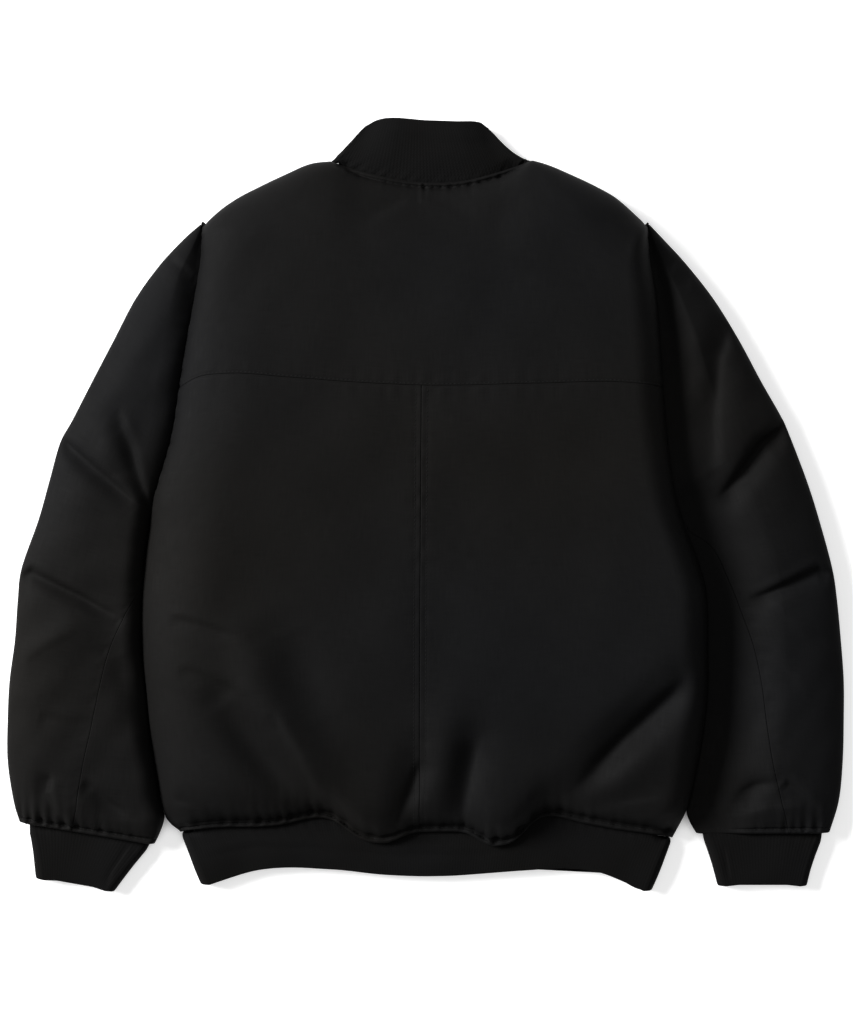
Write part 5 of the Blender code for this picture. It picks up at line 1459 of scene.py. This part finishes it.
def make_floor():
    """White paper with a painted glow: it emits light, though it is no lamp, where it is open to the sky. An
    ambient-occlusion mask takes the glow away near the jacket, which paints shade there so that the jacket's
    contact shadows stay.
    """
    across = FLOOR_HALF
    mesh = bpy.data.meshes.new("floor")
    square = [(-across, -across, 0), (across, -across, 0), (across, across, 0), (-across, across, 0)]
    mesh.from_pydata(square, [], [(0, 1, 2, 3)])
    n = Nodes("white_paper_painted_glow")
    n.set(Base_Color=(FLOOR_WHITE, FLOOR_WHITE, FLOOR_WHITE, 1), Roughness=0.95,
          Emission_Color=(1, 1, 1, 1), Specular_IOR_Level=0.05)
    # Painted shade: the ambient-occlusion mask takes the floor's painted glow away where the jacket covers
    # it.
    painted_shade_mask = n.add("AmbientOcclusion", {"Distance": GLOW_REACH}).outputs["AO"]
    painted_glow = n.add("MapRange", {"Value": painted_shade_mask, "From Min": GLOW_FROM, "From Max": GLOW_FULL,
                              "To Min": 0.0, "To Max": FLOOR_PAINTED_GLOW}).outputs[0]
    n.link(painted_glow, "Emission Strength")
    floor = add_object(mesh, n.material)
    floor.location.z = -FLOOR_DROP


def add_light(name, size, watts, place):
    """A square light that is aimed at the middle of the jacket."""
    light = bpy.data.lights.new(name, "AREA")
    light.size, light.energy = size, watts
    lamp = bpy.data.objects.new(name, light)
    lamp.location = place
    lamp.rotation_euler = (-Vector(place)).to_track_quat("-Z", "Y").to_euler()
    bpy.context.scene.collection.objects.link(lamp)


def make_stage():
    """The floor, the lights, a dim white world and the camera."""
    make_floor()
    for light in LIGHTS:
        add_light(*light)
    world = bpy.data.worlds.new("studio")
    bpy.context.scene.world = world
    world.use_nodes = True
    background = world.node_tree.nodes["Background"]
    background.inputs["Color"].default_value = (1, 1, 1, 1)
    background.inputs["Strength"].default_value = WORLD_LIGHT
    bpy.context.scene.view_settings.view_transform = "Standard"
    camera = bpy.data.objects.new("camera", bpy.data.cameras.new("camera"))
    camera.data.lens = LENS
    camera.data.sensor_width = SENSOR
    camera.data.clip_end = 50
    camera.location = (CAMERA_X, CAMERA_Y, CAMERA_HEIGHT)
    bpy.context.scene.collection.objects.link(camera)
    bpy.context.scene.camera = camera


# The jacket


def declare(piece, node=None):
    """Puts a piece under the root body, and hides the solid it stands for where one is named."""
    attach(piece, "root")
    if node:
        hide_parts(node)


def main():
    cloth, knit, thread = cloth_material(), knit_material(), thread_material()
    shown, surfaces, body_rows = make_back(cloth)
    made = [make_fronts(cloth),
            make_sleeve("left", -1, LEFT_SLEEVE_FOLDS, LEFT_SLEEVE_CREASES, cloth),
            make_sleeve("right", 1, RIGHT_SLEEVE_FOLDS, RIGHT_SLEEVE_CREASES, cloth),
            make_ribs(knit)]
    for pieces, grids in made:
        shown.update(pieces)
        surfaces.update(grids)
    for node, piece in shown.items():
        declare(piece, node)

    for name, rows in sewing_lines(surfaces, body_rows).items():
        up = (0, 0, -1) if name.startswith("front") else (0, 0, 1)
        declare(make_stitches(name, rows, thread, up))

    zip_pieces = make_zip(tape_material(), hard_material("zip_plastic", **PLASTIC),
                          hard_material("zip_enamel", **ENAMEL))
    declare(zip_pieces["zip_tape"], "zip")
    declare(zip_pieces["zip_teeth"])
    declare(zip_pieces["zip_slider_body"], "zip_slider")

    make_stage()


main()
